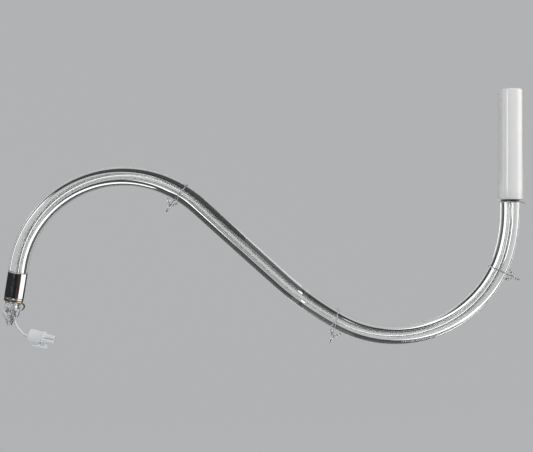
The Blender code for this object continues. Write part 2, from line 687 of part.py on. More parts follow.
def make_hoop_wire(number, frame, glass_radius, join_radius, lean, metal):
    """The closed loop, its two bead arms and its tail, as one wire."""
    radius = glass_radius + HOOP_ROOM + HOOP_WIRE_RADIUS
    slope = math.tan(math.radians(lean))
    reach = join_radius * math.hypot(1.0, slope)
    half = math.acos(radius / reach)
    lean_by = Matrix.Rotation(math.atan(slope), 4, "Y")
    middle = Vector((join_radius * slope, 0.0, 0.0))
    loop = []
    for step in range(HOOP_STEPS):
        angle = half + (2 * math.pi - 2 * half) * step / (HOOP_STEPS - 1)
        loop.append(middle + lean_by @ Vector((0.0, radius * math.sin(angle), -radius * math.cos(angle))))
    join = Vector((0.0, 0.0, -join_radius))
    arm_top = join_radius - HOOP_ARM_RISE
    loop += [loop[-1].lerp(join, 0.5), join, loop[0].lerp(join, 0.5)]
    wire = as_mesh(tube(f"hoop_{number}_wire", loop, HOOP_WIRE_RADIUS, metal, frame, sides=6, cyclic=True))
    crossing = join - Vector((0.00003, 0.00002, 0.00010))  # a hair off, so that no two edges coincide
    arms = [(-HOOP_ARM_REACH, 0.0, -arm_top), crossing, (HOOP_ARM_REACH, 0.0, -arm_top)]
    tail = [join + Vector((0.00002, -0.00003, 0.0002)), join - Vector((0.0, 0.0, TAIL_LENGTH))]
    tools = [
        as_mesh(tube(f"hoop_{number}_arms", arms, HOOP_WIRE_RADIUS, None, frame, sides=6, group=CUTTERS)),
        as_mesh(tube(f"hoop_{number}_tail", tail, HOOP_WIRE_RADIUS, None, frame, sides=6, group=CUTTERS)),
    ]
    for side, label in ((-1.0, "left"), (1.0, "right")):
        mesh = bpy.data.meshes.new(f"hoop_{number}_stop_{label}")
        bm = bmesh.new()
        bmesh.ops.create_icosphere(bm, subdivisions=1, radius=HOOP_WIRE_RADIUS * 1.7)
        bmesh.ops.translate(bm, vec=(side * HOOP_ARM_REACH, 0.0, -arm_top), verts=bm.verts)
        bm.to_mesh(mesh)
        bm.free()
        tools.append(add(mesh.name, mesh, CUTTERS, None, frame))
    for tool in tools:
        combine(wire, tool, "UNION")
    return wire


def bead_mesh(name, crystal):
    """A small cut bead with a hole along Z, made once for each hoop."""
    source = turned(
        name,
        (
            (BEAD_END_RADIUS, BEAD_LENGTH / 2), (BEAD_RADIUS, BEAD_BELT / 2), (BEAD_RADIUS, -BEAD_BELT / 2),
            (BEAD_END_RADIUS, -BEAD_LENGTH / 2), (HOOP_WIRE_RADIUS + WIRE_ROOM, -BEAD_LENGTH / 2),
            (HOOP_WIRE_RADIUS + WIRE_ROOM, BEAD_LENGTH / 2),
        ),
        crystal, steps=BEAD_SIDES,
    )
    return as_mesh(source)


def place_bead(number, count, source, frame, place, tilt):
    """One bead of the hoop; the first takes the source object itself."""
    bead = source if count == 0 else add(f"bead_{count}", source.data, PARTS)
    bead.name = f"hoop_{number}_bead_{count + 1}"
    bead.parent = frame
    bead.matrix_parent_inverse = Matrix()
    bead.location = place
    bead.rotation_euler = (0.0, tilt, 0.0)


def make_cup_hoop(cup, metal):
    """The plain hoop round the tube's upper end, with its twisted tail to the right."""
    radius = TUBE_DIAMETER / 2 + FIT + CUP_HOOP_WIRE_RADIUS
    height = -CUP_HOOP_DROP
    loop = []
    for step in range(ROUND_STEPS):
        angle = 2 * math.pi * step / ROUND_STEPS
        loop.append(Vector((radius * math.cos(angle), radius * math.sin(angle), height)))
    hoop = as_mesh(tube("cup_hoop", loop, CUP_HOOP_WIRE_RADIUS, metal, cup, sides=6, cyclic=True))
    tail = [Vector((radius, 0.0, height))] + [Vector((radius + out, 0.0, height + z)) for out, z in CUP_HOOP_TAIL]
    factors = [1.0, 1.1, 0.9, 0.4]
    tool = as_mesh(tube("cup_hoop_tail", tail, CUP_HOOP_WIRE_RADIUS, None, cup, sides=6, factors=factors, group=CUTTERS))
    combine(hoop, tool, "UNION")
    return hoop


# ================================================================ assembly
def main():
    clear_scene()
    collection(PARTS)
    collection(CUTTERS)

    glass = finish("clear_glass", (0.96, 0.98, 0.97), 0.02, transmission=1.0)
    clear = finish("clear_plastic", (0.92, 0.94, 0.95), 0.15, transmission=0.9)
    chrome = finish("chrome", (0.80, 0.81, 0.82), 0.08, metallic=1.0)
    brass = finish("brass", (0.72, 0.53, 0.22), 0.25, metallic=1.0)
    steel = finish("bright_wire", (0.78, 0.78, 0.78), 0.20, metallic=1.0)
    crystal = finish("crystal", (0.98, 0.98, 1.00), 0.01, transmission=1.0)
    silicone = finish("silicone", (0.75, 0.75, 0.74), 0.6)
    white = finish("white_nylon", (0.86, 0.86, 0.85), 0.45)
    lead_white = finish("white_lead", (0.88, 0.87, 0.86), 0.5)
    insulation = finish("clear_insulation", (0.80, 0.80, 0.78), 0.3)
    contact = finish("tinned_contact", (0.75, 0.74, 0.70), 0.3, metallic=1.0)
    opal = finish("opal_white", (0.86, 0.85, 0.84), 0.2)
    dark = finish("dark_metal", (0.10, 0.10, 0.11), 0.4, metallic=1.0)
    aluminium = finish("aluminium", (0.70, 0.71, 0.72), 0.35, metallic=1.0)
    board = finish("white_board", (0.85, 0.85, 0.82), 0.5)
    chip = finish("led_chip", (0.85, 0.70, 0.20), 0.4)

    hub = frame_at("hub_frame", (0.0, 0.0, 0.0), HUB_LEAN)
    cup = frame_at("cup_frame", arm_at(arm_length())[0], 0.0)

    make_glass_arm(glass)
    make_feed_wires(insulation)
    make_hub_end(hub, chrome, brass, clear, silicone, white)
    make_lead(lead_white)
    make_connector(white, contact)
    make_lamp(cup, dark, brass, aluminium, board, chip, silicone)
    make_sleeve(cup, opal)
    hoops = zip(HOOP_PLACES, HOOP_LEANS, HOOP_ROLLS, HOOP_JOIN_GAPS)
    for number, (place, lean, roll, gap) in enumerate(hoops, start=1):
        make_hoop(number, place, lean, roll, gap, steel, crystal)
    make_cup_hoop(cup, steel)
    bpy.context.view_layer.update()


main()
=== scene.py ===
# %% [markdown]
# # A glass arm from a chandelier
#
# This lesson dresses a finished CAD model for a picture. The model is an S-shaped arm of thick
# clear glass. A chrome ferrule holds its left end, and a white candle sleeve stands on its right
# end. Three wire hoops with small crystals grip the glass.
#
# The CAD model says where every piece is. Here each piece that shows gets a finer mesh and a
# finish with some life in it: glass that was drawn by hand, chrome with faint smears, plastic
# with the grain of its mould. We work in millimetres, because a small part reads better so, and
# turn to metres when a mesh becomes an object.

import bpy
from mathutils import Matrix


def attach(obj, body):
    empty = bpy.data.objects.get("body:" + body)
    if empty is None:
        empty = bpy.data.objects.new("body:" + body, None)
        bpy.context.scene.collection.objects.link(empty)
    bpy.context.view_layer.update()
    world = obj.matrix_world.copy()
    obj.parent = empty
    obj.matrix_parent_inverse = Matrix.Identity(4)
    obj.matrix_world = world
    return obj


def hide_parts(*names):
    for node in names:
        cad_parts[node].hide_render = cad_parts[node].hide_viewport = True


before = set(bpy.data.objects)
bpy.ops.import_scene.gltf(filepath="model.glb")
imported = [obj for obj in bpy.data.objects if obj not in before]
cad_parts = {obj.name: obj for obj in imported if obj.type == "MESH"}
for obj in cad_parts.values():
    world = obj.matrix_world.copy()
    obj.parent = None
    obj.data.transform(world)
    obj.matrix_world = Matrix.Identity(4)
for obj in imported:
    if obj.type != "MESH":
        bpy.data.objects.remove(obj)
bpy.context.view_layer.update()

# %% What the lesson uses
from math import acos, atan, atan2, cos, degrees, exp, hypot, pi, radians, sin, tan

import bmesh
import bpy
from mathutils import Matrix, Vector, noise

MM = 0.001
TO_METRES = Matrix.Scale(MM, 4)

# %% [markdown]
# ## The camera
#
# A long flat object is easiest to match when the camera looks squarely at its plane. The arm lies
# in the XZ plane, so the camera looks along +Y. A camera that stands close widens round things
# near the edge of the picture, and the photographed candle isn't widened. So the camera stands
# well back, with a long lens.

# %% Point the camera at the arm's plane
def add_object(name, data):
    """A new object in the scene."""
    made = bpy.data.objects.new(name, data)
    bpy.context.scene.collection.objects.link(made)
    return made


camera = add_object("camera", bpy.data.cameras.new("camera"))
camera.location = (0.2632, -1.1000, 0.0782)
camera.rotation_euler = (radians(90), 0, 0)
camera.data.sensor_width = 36
camera.data.lens = 71.45
camera.data.clip_start = 0.01
bpy.context.scene.camera = camera
bpy.context.scene.view_settings.view_transform = "Standard"
print("camera:", camera.data.lens, "mm lens,", -camera.location.y, "m from the arm")

# %% [markdown]
# ## The lead
#
# A short white lead leaves the hub end, hangs down and runs into the back of the connector. Its
# shape is the cord's own, so it comes first. A curve with a round bevel keeps the same thickness
# all the way, and its line is easy to measure. The points are those of the CAD model's route, and
# a little smoothing hides the corners.

# %% Lay the lead along its route
LEAD_ROUTE = [
    (-0.00108, -0.00682), (-0.00152, -0.00958), (-0.00085, -0.01290), (0.00045, -0.01640),
    (0.00135, -0.02000), (0.00260, -0.02360), (0.00430, -0.02690), (0.00640, -0.02980),
    (0.00870, -0.03240), (0.01070, -0.03430), (0.01283, -0.03551), (0.01528, -0.03599),
]
LEAD_DIAMETER = 0.0024


def smoothed(route, pieces=4):
    """Points on a smooth curve through the route, in the XZ plane. Both ends stay straight."""
    points = [Vector((x, 0, z)) for x, z in route]
    line = [points[0]]
    for a, b, c, d in zip(points, points[1:], points[2:], points[3:]):
        for step in range(pieces):
            t = step / pieces
            line.append(0.5 * (2 * b + (c - a) * t + (2 * a - 5 * b + 4 * c - d) * t * t
                               + (3 * b - a - 3 * c + d) * t ** 3))
    return line + points[-2:]


lead_line = smoothed(LEAD_ROUTE)
lead_curve = bpy.data.curves.new("supply_lead_white", "CURVE")
lead_curve.dimensions = "3D"
lead_curve.bevel_depth = LEAD_DIAMETER / 2
lead_curve.bevel_resolution = 4
lead_curve.use_fill_caps = True
strand = lead_curve.splines.new("POLY")
strand.points.add(len(lead_line) - 1)
for point, place in zip(strand.points, lead_line):
    point.co = (*place, 1)
lead = add_object("supply_lead_white", lead_curve)
lead_length = sum((b - a).length for a, b in zip(lead_line, lead_line[1:]))
print("lead:", round(lead_length * 1000, 1), "mm")

# %% [markdown]
# ## Shader maths as plain Python
#
# A material's nodes are a formula. Wiring them one by one hides what the formula says, so we wrap
# a socket in a small class. Adding or multiplying wrapped sockets adds the Math nodes for us.
# Every other node comes from one method, which takes the node's type, sockets and settings.

# %% A socket that can do arithmetic
class Socket:
    """One output in a material's node tree."""

    def __init__(self, tree, output=None):
        self.tree, self.output = tree, output

    def node(self, kind, sockets=None, take=0, **settings):
        """A new node of this type, with its settings and its sockets' values or links."""
        made = self.tree.nodes.new(kind)
        for name, value in settings.items():
            setattr(made, name, value)
        for name, value in (sockets or {}).items():
            if isinstance(value, Socket):
                self.tree.links.new(value.output, made.inputs[name])
            else:
                made.inputs[name].default_value = value
        return Socket(self.tree, made.outputs[take])

    def feed(self, socket, node="Principled BSDF"):
        """Link this output to a socket of a node that is there already."""
        self.tree.links.new(self.output, self.tree.nodes[node].inputs[socket])

    def maths(self, operation, first, second):
        return self.node("ShaderNodeMath", {0: first, 1: second}, operation=operation)

    def __add__(self, other):
        return self.maths("ADD", self, other)

    def __mul__(self, other):
        return self.maths("MULTIPLY", self, other)

    __radd__, __rmul__ = __add__, __mul__


# %% [markdown]
# ## A finish with some life in it
#
# No real surface is one flat colour. Even new plastic has a faint cloudiness, and metal has
# smears and drawing marks. So one helper makes every plain finish of this object. It clouds the
# base colour between two shades, spreads the roughness a little and raises a fine grain. The
# pattern sits on Object coordinates. It can be stretched along an axis, which turns round specks
# into the long marks of drawn or brushed metal.

# %% The helper for all finishes
def finish(name, shades, roughness, grain=(400, 0.0), stretch=(1, 1, 1), cloud=90, **fixed):
    """A material that wanders between two shades and two roughnesses, with a fine raised grain."""
    material = bpy.data.materials.new(name)
    material.use_nodes = True
    shader = material.node_tree.nodes["Principled BSDF"]
    for socket, value in fixed.items():
        shader.inputs[socket.replace("_", " ").title().replace("Ior", "IOR")].default_value = value
    start = Socket(material.node_tree)
    place = start.node("ShaderNodeTexCoord", take=3)
    place = start.node("ShaderNodeMapping", {"Vector": place, "Scale": stretch})
    clouds = start.node("ShaderNodeTexNoise", {"Vector": place, "Scale": cloud, "Detail": 3.0})
    colour = start.node("ShaderNodeMix",
                        {"Factor": clouds, 6: (*shades[0], 1), 7: (*shades[1], 1)},
                        take=2, data_type="RGBA")
    colour.feed("Base Color")
    smears = clouds * (roughness[1] - roughness[0]) + roughness[0]
    smears.feed("Roughness")
    scale, height = grain
    if height:
        specks = start.node("ShaderNodeTexNoise", {"Vector": place, "Scale": scale, "Detail": 2.0})
        raised = start.node("ShaderNodeBump",
                            {"Height": specks, "Strength": 1.0, "Distance": height})
        raised.feed("Normal")
    return material


# %% [markdown]
# ## The finishes of this arm
#
# Glass, crystal and the clear plastics let light through, so they only need a clean colour, the
# right index of refraction and a trace of haze. Lead crystal bends light more than tube glass
# does, which is why small beads of it sparkle. The metals differ in colour and in how sharply
# they mirror. The opal sleeve has a clear coat over a soft white body.

# %% Clear finishes
tube_glass = finish("tube_glass", [(0.975, 0.985, 0.98), (0.985, 0.99, 0.985)], (0.01, 0.05),
                    cloud=40, transmission_weight=1.0, ior=1.50)
crystal = finish("cut_crystal", [(0.98, 0.98, 0.99), (0.99, 0.99, 1.0)], (0.0, 0.01),
                 transmission_weight=1.0, ior=1.62)
clear_collar = finish("clear_collar", [(0.90, 0.92, 0.93), (0.95, 0.96, 0.96)], (0.06, 0.20),
                      grain=(900, 0.00002), cloud=260, transmission_weight=0.92, ior=1.49)

# %% Metals
chrome = finish("polished_chrome", [(0.78, 0.79, 0.80), (0.84, 0.85, 0.86)], (0.035, 0.09),
                cloud=120, metallic=1.0)
brass = finish("lacquered_brass", [(0.46, 0.32, 0.13), (0.70, 0.52, 0.25)], (0.16, 0.32),
               grain=(1500, 0.00001), cloud=420, metallic=1.0)
wire_metal = finish("bright_drawn_wire", [(0.36, 0.36, 0.36), (0.52, 0.52, 0.51)], (0.10, 0.2),
                    cloud=700, metallic=1.0)
dark_steel = finish("blackened_steel", [(0.045, 0.045, 0.05), (0.10, 0.10, 0.105)], (0.30, 0.5),
                    grain=(1200, 0.00001), cloud=300, metallic=1.0)
aluminium = finish("drawn_aluminium", [(0.62, 0.63, 0.64), (0.74, 0.75, 0.76)], (0.28, 0.42),
                   grain=(1400, 0.00001), stretch=(1, 1, 0.04), cloud=500, metallic=1.0)
tin = finish("tin_plate", [(0.66, 0.65, 0.62), (0.80, 0.79, 0.76)], (0.22, 0.38),
             cloud=800, metallic=1.0)

# %% Plastics and rubber
opal = finish("opal_sleeve", [(0.80, 0.795, 0.79), (0.84, 0.835, 0.825)], (0.22, 0.30),
              grain=(60, 0.00001), cloud=30, coat_weight=0.8, coat_roughness=0.06)
nylon = finish("white_nylon", [(0.76, 0.79, 0.825), (0.83, 0.85, 0.87)], (0.34, 0.48),
               grain=(2200, 0.00002), cloud=260)
lead_white = finish("white_lead", [(0.78, 0.78, 0.78), (0.85, 0.85, 0.84)], (0.34, 0.46),
                    grain=(1600, 0.00001), cloud=400)
insulation = finish("silvery_insulation", [(0.66, 0.66, 0.66), (0.78, 0.78, 0.77)], (0.22, 0.34),
                    cloud=300)
silicone = finish("milky_silicone", [(0.62, 0.62, 0.61), (0.72, 0.72, 0.70)], (0.50, 0.66),
                  grain=(1800, 0.00002), cloud=300)
solder_mask = finish("white_solder_mask", [(0.76, 0.76, 0.73), (0.83, 0.83, 0.80)], (0.38, 0.5),
                     grain=(2500, 0.00001), cloud=500)
phosphor = finish("yellow_phosphor", [(0.80, 0.58, 0.10), (0.90, 0.70, 0.18)], (0.5, 0.62),
                  grain=(3000, 0.00002), cloud=1200)
print("finishes:", len(bpy.data.materials))

# %% [markdown]
# ## Frames to build in
#
# Most pieces are round or square about an axis of their own. It is simplest to model each one
# upright at the origin, and to move it into place at the end with a matrix. The hub end leans
# 9 degrees and the connector dips 11 degrees.

# %% Where the hub and the connector are
def lean(turn, x=0, z=0):
    """A frame at (x, z) millimetres in the arm's plane, turned this many degrees about +Y."""
    return Matrix.Translation((x, 0, z)) @ Matrix.Rotation(radians(turn), 4, "Y")


HUB_LEAN = 9
hub = lean(HUB_LEAN)
connector = lean(11, 15.10, -38.50)
print("the connector's foot is at", [round(value, 1) for value in connector.translation])

# %% [markdown]
# ## The line of the glass
#
# The arm is a chain of straights and arcs, as a glass bender would make it from a drawing. Each
# pair in BENDS is the length of a straight and 0, or the radius of an arc and its turn in degrees.
# RUNS gives each one's length and how sharply it turns, as one over the radius. Walking along the
# runs gives a frame at any distance, with its z axis along the glass.

# %% Walk along the glass
FERRULE_MOUTH = 29.7
BENDS = [(8, 0), (-110, 102.5), (-124, 20.5), (112, 0), (325, 14), (119, 104), (160, 14), (10, 0)]
RUNS = [(abs(size) * radians(turn), 1 / size) if turn else (size, 0) for size, turn in BENDS]
GLASS_LENGTH = sum(length for length, _ in RUNS)


def along_glass(distance):
    """The frame at this many millimetres from the ferrule's mouth, straight on past both ends."""
    heading = radians(90 - HUB_LEAN)
    x, z = FERRULE_MOUTH * cos(heading), FERRULE_MOUTH * sin(heading)
    for length, bend in RUNS if distance > 0 else []:
        step = min(length, distance)
        turned = heading + bend * step
        if bend:
            x += (sin(turned) - sin(heading)) / bend
            z -= (cos(turned) - cos(heading)) / bend
        else:
            x += step * cos(heading)
            z += step * sin(heading)
        heading, distance = turned, distance - step
        if distance <= 0:
            break
    x += distance * cos(heading)
    z += distance * sin(heading)
    return lean(90 - degrees(heading), x, z)


candle = along_glass(GLASS_LENGTH)
print("glass:", round(GLASS_LENGTH), "mm along its line; it ends at",
      [round(value, 1) for value in candle.translation])

# %% [markdown]
# ## From a bmesh to a piece
#
# Every piece ends the same way. Its normals are made to point outwards, edges sharper than a
# limit stay crisp, its place goes into the mesh and it starts to ride on its CAD body. Two
# helpers do this, so that no piece misses a step.

# %% Turn a bmesh into a finished piece
made_pieces = []


def as_object(bm, name, materials, place=Matrix()):
    """An object from this bmesh, with its place in its mesh."""
    bmesh.ops.transform(bm, matrix=TO_METRES @ place, verts=bm.verts)
    mesh = bpy.data.meshes.new(name)
    bm.to_mesh(mesh)
    bm.free()
    for material in materials:
        mesh.materials.append(material)
    print(f"{name}: {len(mesh.polygons)} faces")
    return add_object(name, mesh)


def piece(bm, name, body, materials, stands_for, place=Matrix(), crease=32):
    """A piece that rides on a body and stands for the CAD nodes named."""
    bmesh.ops.remove_doubles(bm, verts=bm.verts, dist=0.0005)
    bmesh.ops.recalc_face_normals(bm, faces=bm.faces)
    for face in bm.faces:
        face.smooth = True
    for edge in bm.edges:
        edge.smooth = edge.is_manifold and edge.calc_face_angle(0) < radians(crease)
    made = as_object(bm, name, materials, place)
    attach(made, body)
    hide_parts(*stands_for)
    made_pieces.append(made)


# %% [markdown]
# ## Turned pieces
#
# Washers, rings and sleeves are turned on a lathe or moulded round, and a tube is drawn round. We
# draw half of the cross-section as a loop of edges, round its corners with a small bevel and spin
# it. The bevel is what sells a turned piece: a corner with no radius never catches the light.

# %% Spin a half section
def turned(profile, steps, corner=0.0, closed=True):
    """A bmesh spun from (radius, height) points in millimetres, with its corners rounded."""
    bm = bmesh.new()
    points = [bm.verts.new((radius, 0, height)) for radius, height in profile]
    pairs = zip(points, points[1:] + points[:1]) if closed else zip(points, points[1:])
    for first, second in pairs:
        bm.edges.new((first, second))
    if corner:
        bends = [vert for vert in bm.verts if len(vert.link_edges) == 2]
        bmesh.ops.bevel(bm, geom=bends, offset=corner, segments=3, profile=0.5,
                        affect="VERTICES", material=-1)
    bmesh.ops.spin(bm, geom=bm.verts[:] + bm.edges[:], cent=(0, 0, 0), axis=(0, 0, 1),
                   angle=2 * pi, steps=steps, use_merge=True)
    return bm


def washer(outer, inner, low, high):
    """The half section of a plain ring."""
    return [(outer, high), (outer, low), (inner, low), (inner, high)]


# %% [markdown]
# ## The glass tube
#
# A glass bender starts with a straight tube, and so do we. Its half section is two long lines: the
# outside, with the ground end for the ferrule and a fire-polished rim, and the bore. One spin
# gives the straight tube, and every point is then carried to its place along the bent line.
# A curve with a bevel could bend too, but it has no bore and no rim.
#
# Thick tube is drawn hot, so it is never quite round: it keeps faint flats and ridges that run
# along it. They break each reflection into the long streaks that make glass look like glass. The
# steps along the tube are short, because long ones turn the bent streaks into dots.

# %% Draw the half section of the tube
TUBE_RADIUS, TUBE_MID_RADIUS, BORE_RADIUS, SPIGOT_RADIUS = 10.0, 9.4, 2.5, 9.0
GLASS_FOOT = 9.6 - FERRULE_MOUTH
FIRST_STEP, STEPPED_LENGTH, STEP_COUNT = 0.9, GLASS_LENGTH - 2.3, 400
RIM_ROUND, BORE_ROUND, SPIGOT_ROUND = 1.2, 0.6, 0.3


def tube_radius(distance):
    """The tube is drawn a little thinner halfway."""
    share = min(1, max(0, distance / GLASS_LENGTH))
    return TUBE_RADIUS - (TUBE_RADIUS - TUBE_MID_RADIUS) * sin(pi * share) ** 2


stations = [FIRST_STEP + STEPPED_LENGTH * step / STEP_COUNT for step in range(STEP_COUNT + 1)]
rim = [(sin(radians(a)), cos(radians(a))) for a in range(0, 91, 15)]
outside = [(SPIGOT_RADIUS - SPIGOT_ROUND, GLASS_FOOT), (SPIGOT_RADIUS, GLASS_FOOT + SPIGOT_ROUND),
           (SPIGOT_RADIUS, 0.3), (TUBE_RADIUS - 0.15, 0.45), (TUBE_RADIUS, 0.6)]
outside += [(tube_radius(place), place) for place in stations]
outside += [(TUBE_RADIUS - RIM_ROUND + RIM_ROUND * out, GLASS_LENGTH - RIM_ROUND + RIM_ROUND * up)
            for up, out in rim]
bore = [(BORE_RADIUS, GLASS_FOOT)] + [(BORE_RADIUS, place) for place in stations]
bore += [(BORE_RADIUS + BORE_ROUND - BORE_ROUND * out, GLASS_LENGTH - BORE_ROUND + BORE_ROUND * up)
         for up, out in rim]
print("points in the half section:", len(outside) + len(bore))

# %% Spin it, ridge it and bend it
RIDGES = [(2, 0.050, 0.4), (5, 0.016, 2.1), (9, 0.004, 4.0)]  # how many, how high, where
RIDGE_TWIST = 0.003


def ridge(angle, distance):
    """How far the surface stands in or out at this angle round the tube, in millimetres."""
    return sum(high * cos(count * angle + phase + RIDGE_TWIST * count * distance)
               for count, high, phase in RIDGES)


bm = turned(outside + bore[::-1], 72)
bent_frames = {}
for vert in bm.verts:
    x, y, distance = vert.co
    radius = hypot(x, y)
    push = 1
    if radius > 2 * BORE_RADIUS:
        fade = min(1, max(0, distance - 1), max(0, GLASS_LENGTH - RIM_ROUND - distance))
        push += fade * ridge(atan2(y, x), distance) / radius
    if distance not in bent_frames:
        bent_frames[distance] = along_glass(distance)
    vert.co = bent_frames[distance] @ Vector((x * push, y * push, 0))
piece(bm, "drawn_glass_tube", "arm", [tube_glass], ["glass_arm"], crease=60)

# %% [markdown]
# ## Sweeping a ring
#
# A wire is one ring of vertices carried along a line. At each step the last ring is extruded and
# the new one is moved by the matrix between two frames. That keeps the ring square to the line,
# with no twist, and lets it grow or shrink on the way.

# %% Carry a ring through a list of frames
def edges_of(verts):
    """The edges that meet at these vertices."""
    return list(dict.fromkeys(edge for vert in verts for edge in vert.link_edges))


def ring_of(bm, radius, sides, at):
    """A circle of edges in this frame."""
    made = bmesh.ops.create_circle(bm, segments=sides, radius=radius, matrix=at)
    return edges_of(made["verts"])


def verts_of(parts):
    """The vertices among the parts that an extrusion made."""
    return [part for part in parts if isinstance(part, bmesh.types.BMVert)]


def sweep(bm, ring, frames, radii):
    """Extrude the ring from frame to frame. It returns the last ring's edges."""
    for before, after, was, now in zip(frames, frames[1:], radii, radii[1:]):
        grown = bmesh.ops.extrude_edge_only(bm, edges=ring)["geom"]
        verts = verts_of(grown)
        fresh = set(verts)
        ring = [part for part in grown
                if isinstance(part, bmesh.types.BMEdge) and fresh.issuperset(part.verts)]
        step = after @ Matrix.Diagonal((now / was, now / was, 1, 1)) @ before.inverted()
        bmesh.ops.transform(bm, matrix=step, verts=verts)
    return ring


# %% [markdown]
# ## The wires in the bore
#
# Two fine wires carry the current from the hub to the candle. They lie apart in the bore and come
# together at both ends. Seen through the glass they become soft lines, wider than they are,
# because the tube works as a lens.

# %% Sweep the two feed wires
FEED_RADIUS, FEED_EASE, FEED_CLOSE, FEED_SPREAD = 0.4, 25, 0.6, 1.1
WAVE_HEIGHT, WAVE_STRETCH = 0.25, 31


def feed_offset(place):
    """How far a feed wire runs from the middle of the bore."""
    from_hub = (place + 0.7 * FEED_EASE) / (1.7 * FEED_EASE)
    from_end = (GLASS_LENGTH - 7 - place) / FEED_EASE
    share = min(1, max(0, min(from_hub, from_end)))
    return FEED_CLOSE + FEED_SPREAD * share * share * (3 - 2 * share)


places = [-35.9, -25, -17.5, -12, -6, 0] + stations[::3]
places += [GLASS_LENGTH + beyond for beyond in (-4, 3, 11)]
for name, side in (("feed_wire_upper", -1), ("feed_wire_lower", 1)):
    frames = []
    for place in places:
        wave = WAVE_HEIGHT * sin(place / WAVE_STRETCH + side)
        shift = Matrix.Translation((side * feed_offset(place), wave, 0))
        frames.append(along_glass(place) @ shift)
    bm = bmesh.new()
    first = ring_of(bm, FEED_RADIUS, 12, frames[0])
    last = sweep(bm, first, frames, [1] * len(frames))
    bmesh.ops.holes_fill(bm, edges=first + last)
    piece(bm, name + "_fine", "arm", [insulation], [name])

# %% [markdown]
# ## The hub end
#
# The ferrule is a chrome cup that the glass is cemented into. A rounded end ring and a brass seat
# washer close it below, and a clear collar clamps the lead.

# %% Ferrule, end ring, washer and collar
cup = [(10.0, 29.7), (10.0, 3.9), (4.9, 3.9), (4.9, 5.1), (9.3, 5.1), (9.3, 29.7)]
piece(turned(cup, 96, corner=0.25), "chrome_ferrule", "arm", [chrome],
      ["hub_ferrule"], hub)

bead = [(9.1 + 0.9 * cos(radians(a)), 2.55 + 1.04 * sin(radians(a)))
        for a in range(84, -85, -14)]
bead += [(7.0, 1.51), (7.0, 3.59)]
piece(turned(bead, 80), "chrome_end_ring", "arm", [chrome], ["ferrule_end_ring"], hub)

seat = [(9.9, 1.2), (9.9, 0), (8.3, 0), (8.3, 0.15), (4.9, 0.15), (4.9, 1.2)]
piece(turned(seat, 80, corner=0.06), "brass_seat_washer", "arm", [brass],
      ["seat_washer"], hub)

collar = [(4.6, 8.0), (4.6, -0.3), (8.0, -0.3), (8.0, -2.2), (7.5, -2.5), (7.5, -3.3), (8.0, -3.6),
          (8.0, -6.6), (1.9, -6.6), (1.9, 8.0)]
piece(turned(collar, 72, corner=0.18), "clear_hub_collar", "arm",
      [clear_collar], ["hub_collar"], hub)

# %% [markdown]
# ## The earth tab
#
# A bent strip of brass hooks out from under the washer. A strip is easiest as what it is: a line
# of edges for the bend, extruded sideways into a sheet, given its thickness and rounded along
# its edges. Smoothing between a few points rounds the bend.

# %% Bend the tab from a strip
def round_edges(bm, edges, size, segments=3, **options):
    """Give these edges a small radius."""
    bmesh.ops.bevel(bm, geom=edges, offset=size, segments=segments, profile=0.5,
                    affect="EDGES", material=-1, **options)


TAB_ROUTE = [(8.5, -0.33), (11.0, -1.05), (12.45, -3.2), (12.25, -5.6), (10.45, -8.35)]
TAB_WIDTH, TAB_THICKNESS = 3.4, 0.95
TAB_HOLLOW = Vector((9, 0, -5))
bm = bmesh.new()
line = [bm.verts.new((point.x, -TAB_WIDTH / 2, point.z)) for point in smoothed(TAB_ROUTE, 5)]
edges = [bm.edges.new(pair) for pair in zip(line, line[1:])]
grown = bmesh.ops.extrude_edge_only(bm, edges=edges)["geom"]
bmesh.ops.translate(bm, vec=(0, TAB_WIDTH, 0), verts=verts_of(grown))
bm.normal_update()
inwards = [face for face in bm.faces
           if face.normal.dot(face.calc_center_median() - TAB_HOLLOW) < 0]
bmesh.ops.reverse_faces(bm, faces=inwards)
bmesh.ops.solidify(bm, geom=bm.faces[:], thickness=TAB_THICKNESS)
sharp = [edge for edge in bm.edges if edge.calc_face_angle(0) > radians(60)]
round_edges(bm, sharp, 0.14)
print("tab reaches x", round(max(vert.co.x for vert in bm.verts), 2))
piece(bm, "brass_earth_tab", "arm", [brass], ["earth_tab"], hub)

# %% [markdown]
# ## The gathered boot
#
# Below the collar a piece of clear film is gathered round the lead's root. Crumpled film isn't
# lumpy: it breaks into small flat facets with sharp creases, and the creases turn white. So we
# spin a coarse bag, shift each of its points at random, split it into triangles and leave them
# flat. The seed makes the crumple the same each time. A mesh attribute remembers which points were
# pushed outwards, and the finish mixes in milky white there: partly the film's own whitening,
# partly a painted highlight on the bulges that face out. A thin wall makes it a film.

# %% A finish for crumpled film
film = finish("crumpled_film", [(0.93, 0.94, 0.95), (0.98, 0.98, 0.985)], (0.02, 0.10),
              cloud=500, transmission_weight=1.0, ior=1.46)
clear = Socket(film.node_tree, film.node_tree.nodes["Principled BSDF"].outputs[0])
# Milky white for the pushed-out points: partly the film's own whitening, partly a painted
# highlight.
white_film_and_highlight = clear.node("ShaderNodeBsdfPrincipled", {"Base Color": (0.86, 0.88, 0.91, 1),
                                               "Roughness": 0.3, "Coat Weight": 0.6})
fold = clear.node("ShaderNodeAttribute", take=2, attribute_name="fold")
place = clear.node("ShaderNodeTexCoord", take=3)
specks = clear.node("ShaderNodeTexNoise", {"Vector": place, "Scale": 420.0, "Detail": 2.0})
# The share of milky white grows with the push: whitening and painted highlight together.
white_and_highlight_share = clear.node("ShaderNodeMapRange",
                  {"Value": fold + specks * 0.5, "From Min": 0.50, "From Max": 0.95,
                   "To Min": 0.05, "To Max": 1.0}, interpolation_type="SMOOTHSTEP")
both = clear.node("ShaderNodeMixShader", {0: white_and_highlight_share, 1: clear, 2: white_film_and_highlight})
both.feed("Surface", "Material Output")
print("film nodes:", len(film.node_tree.nodes))

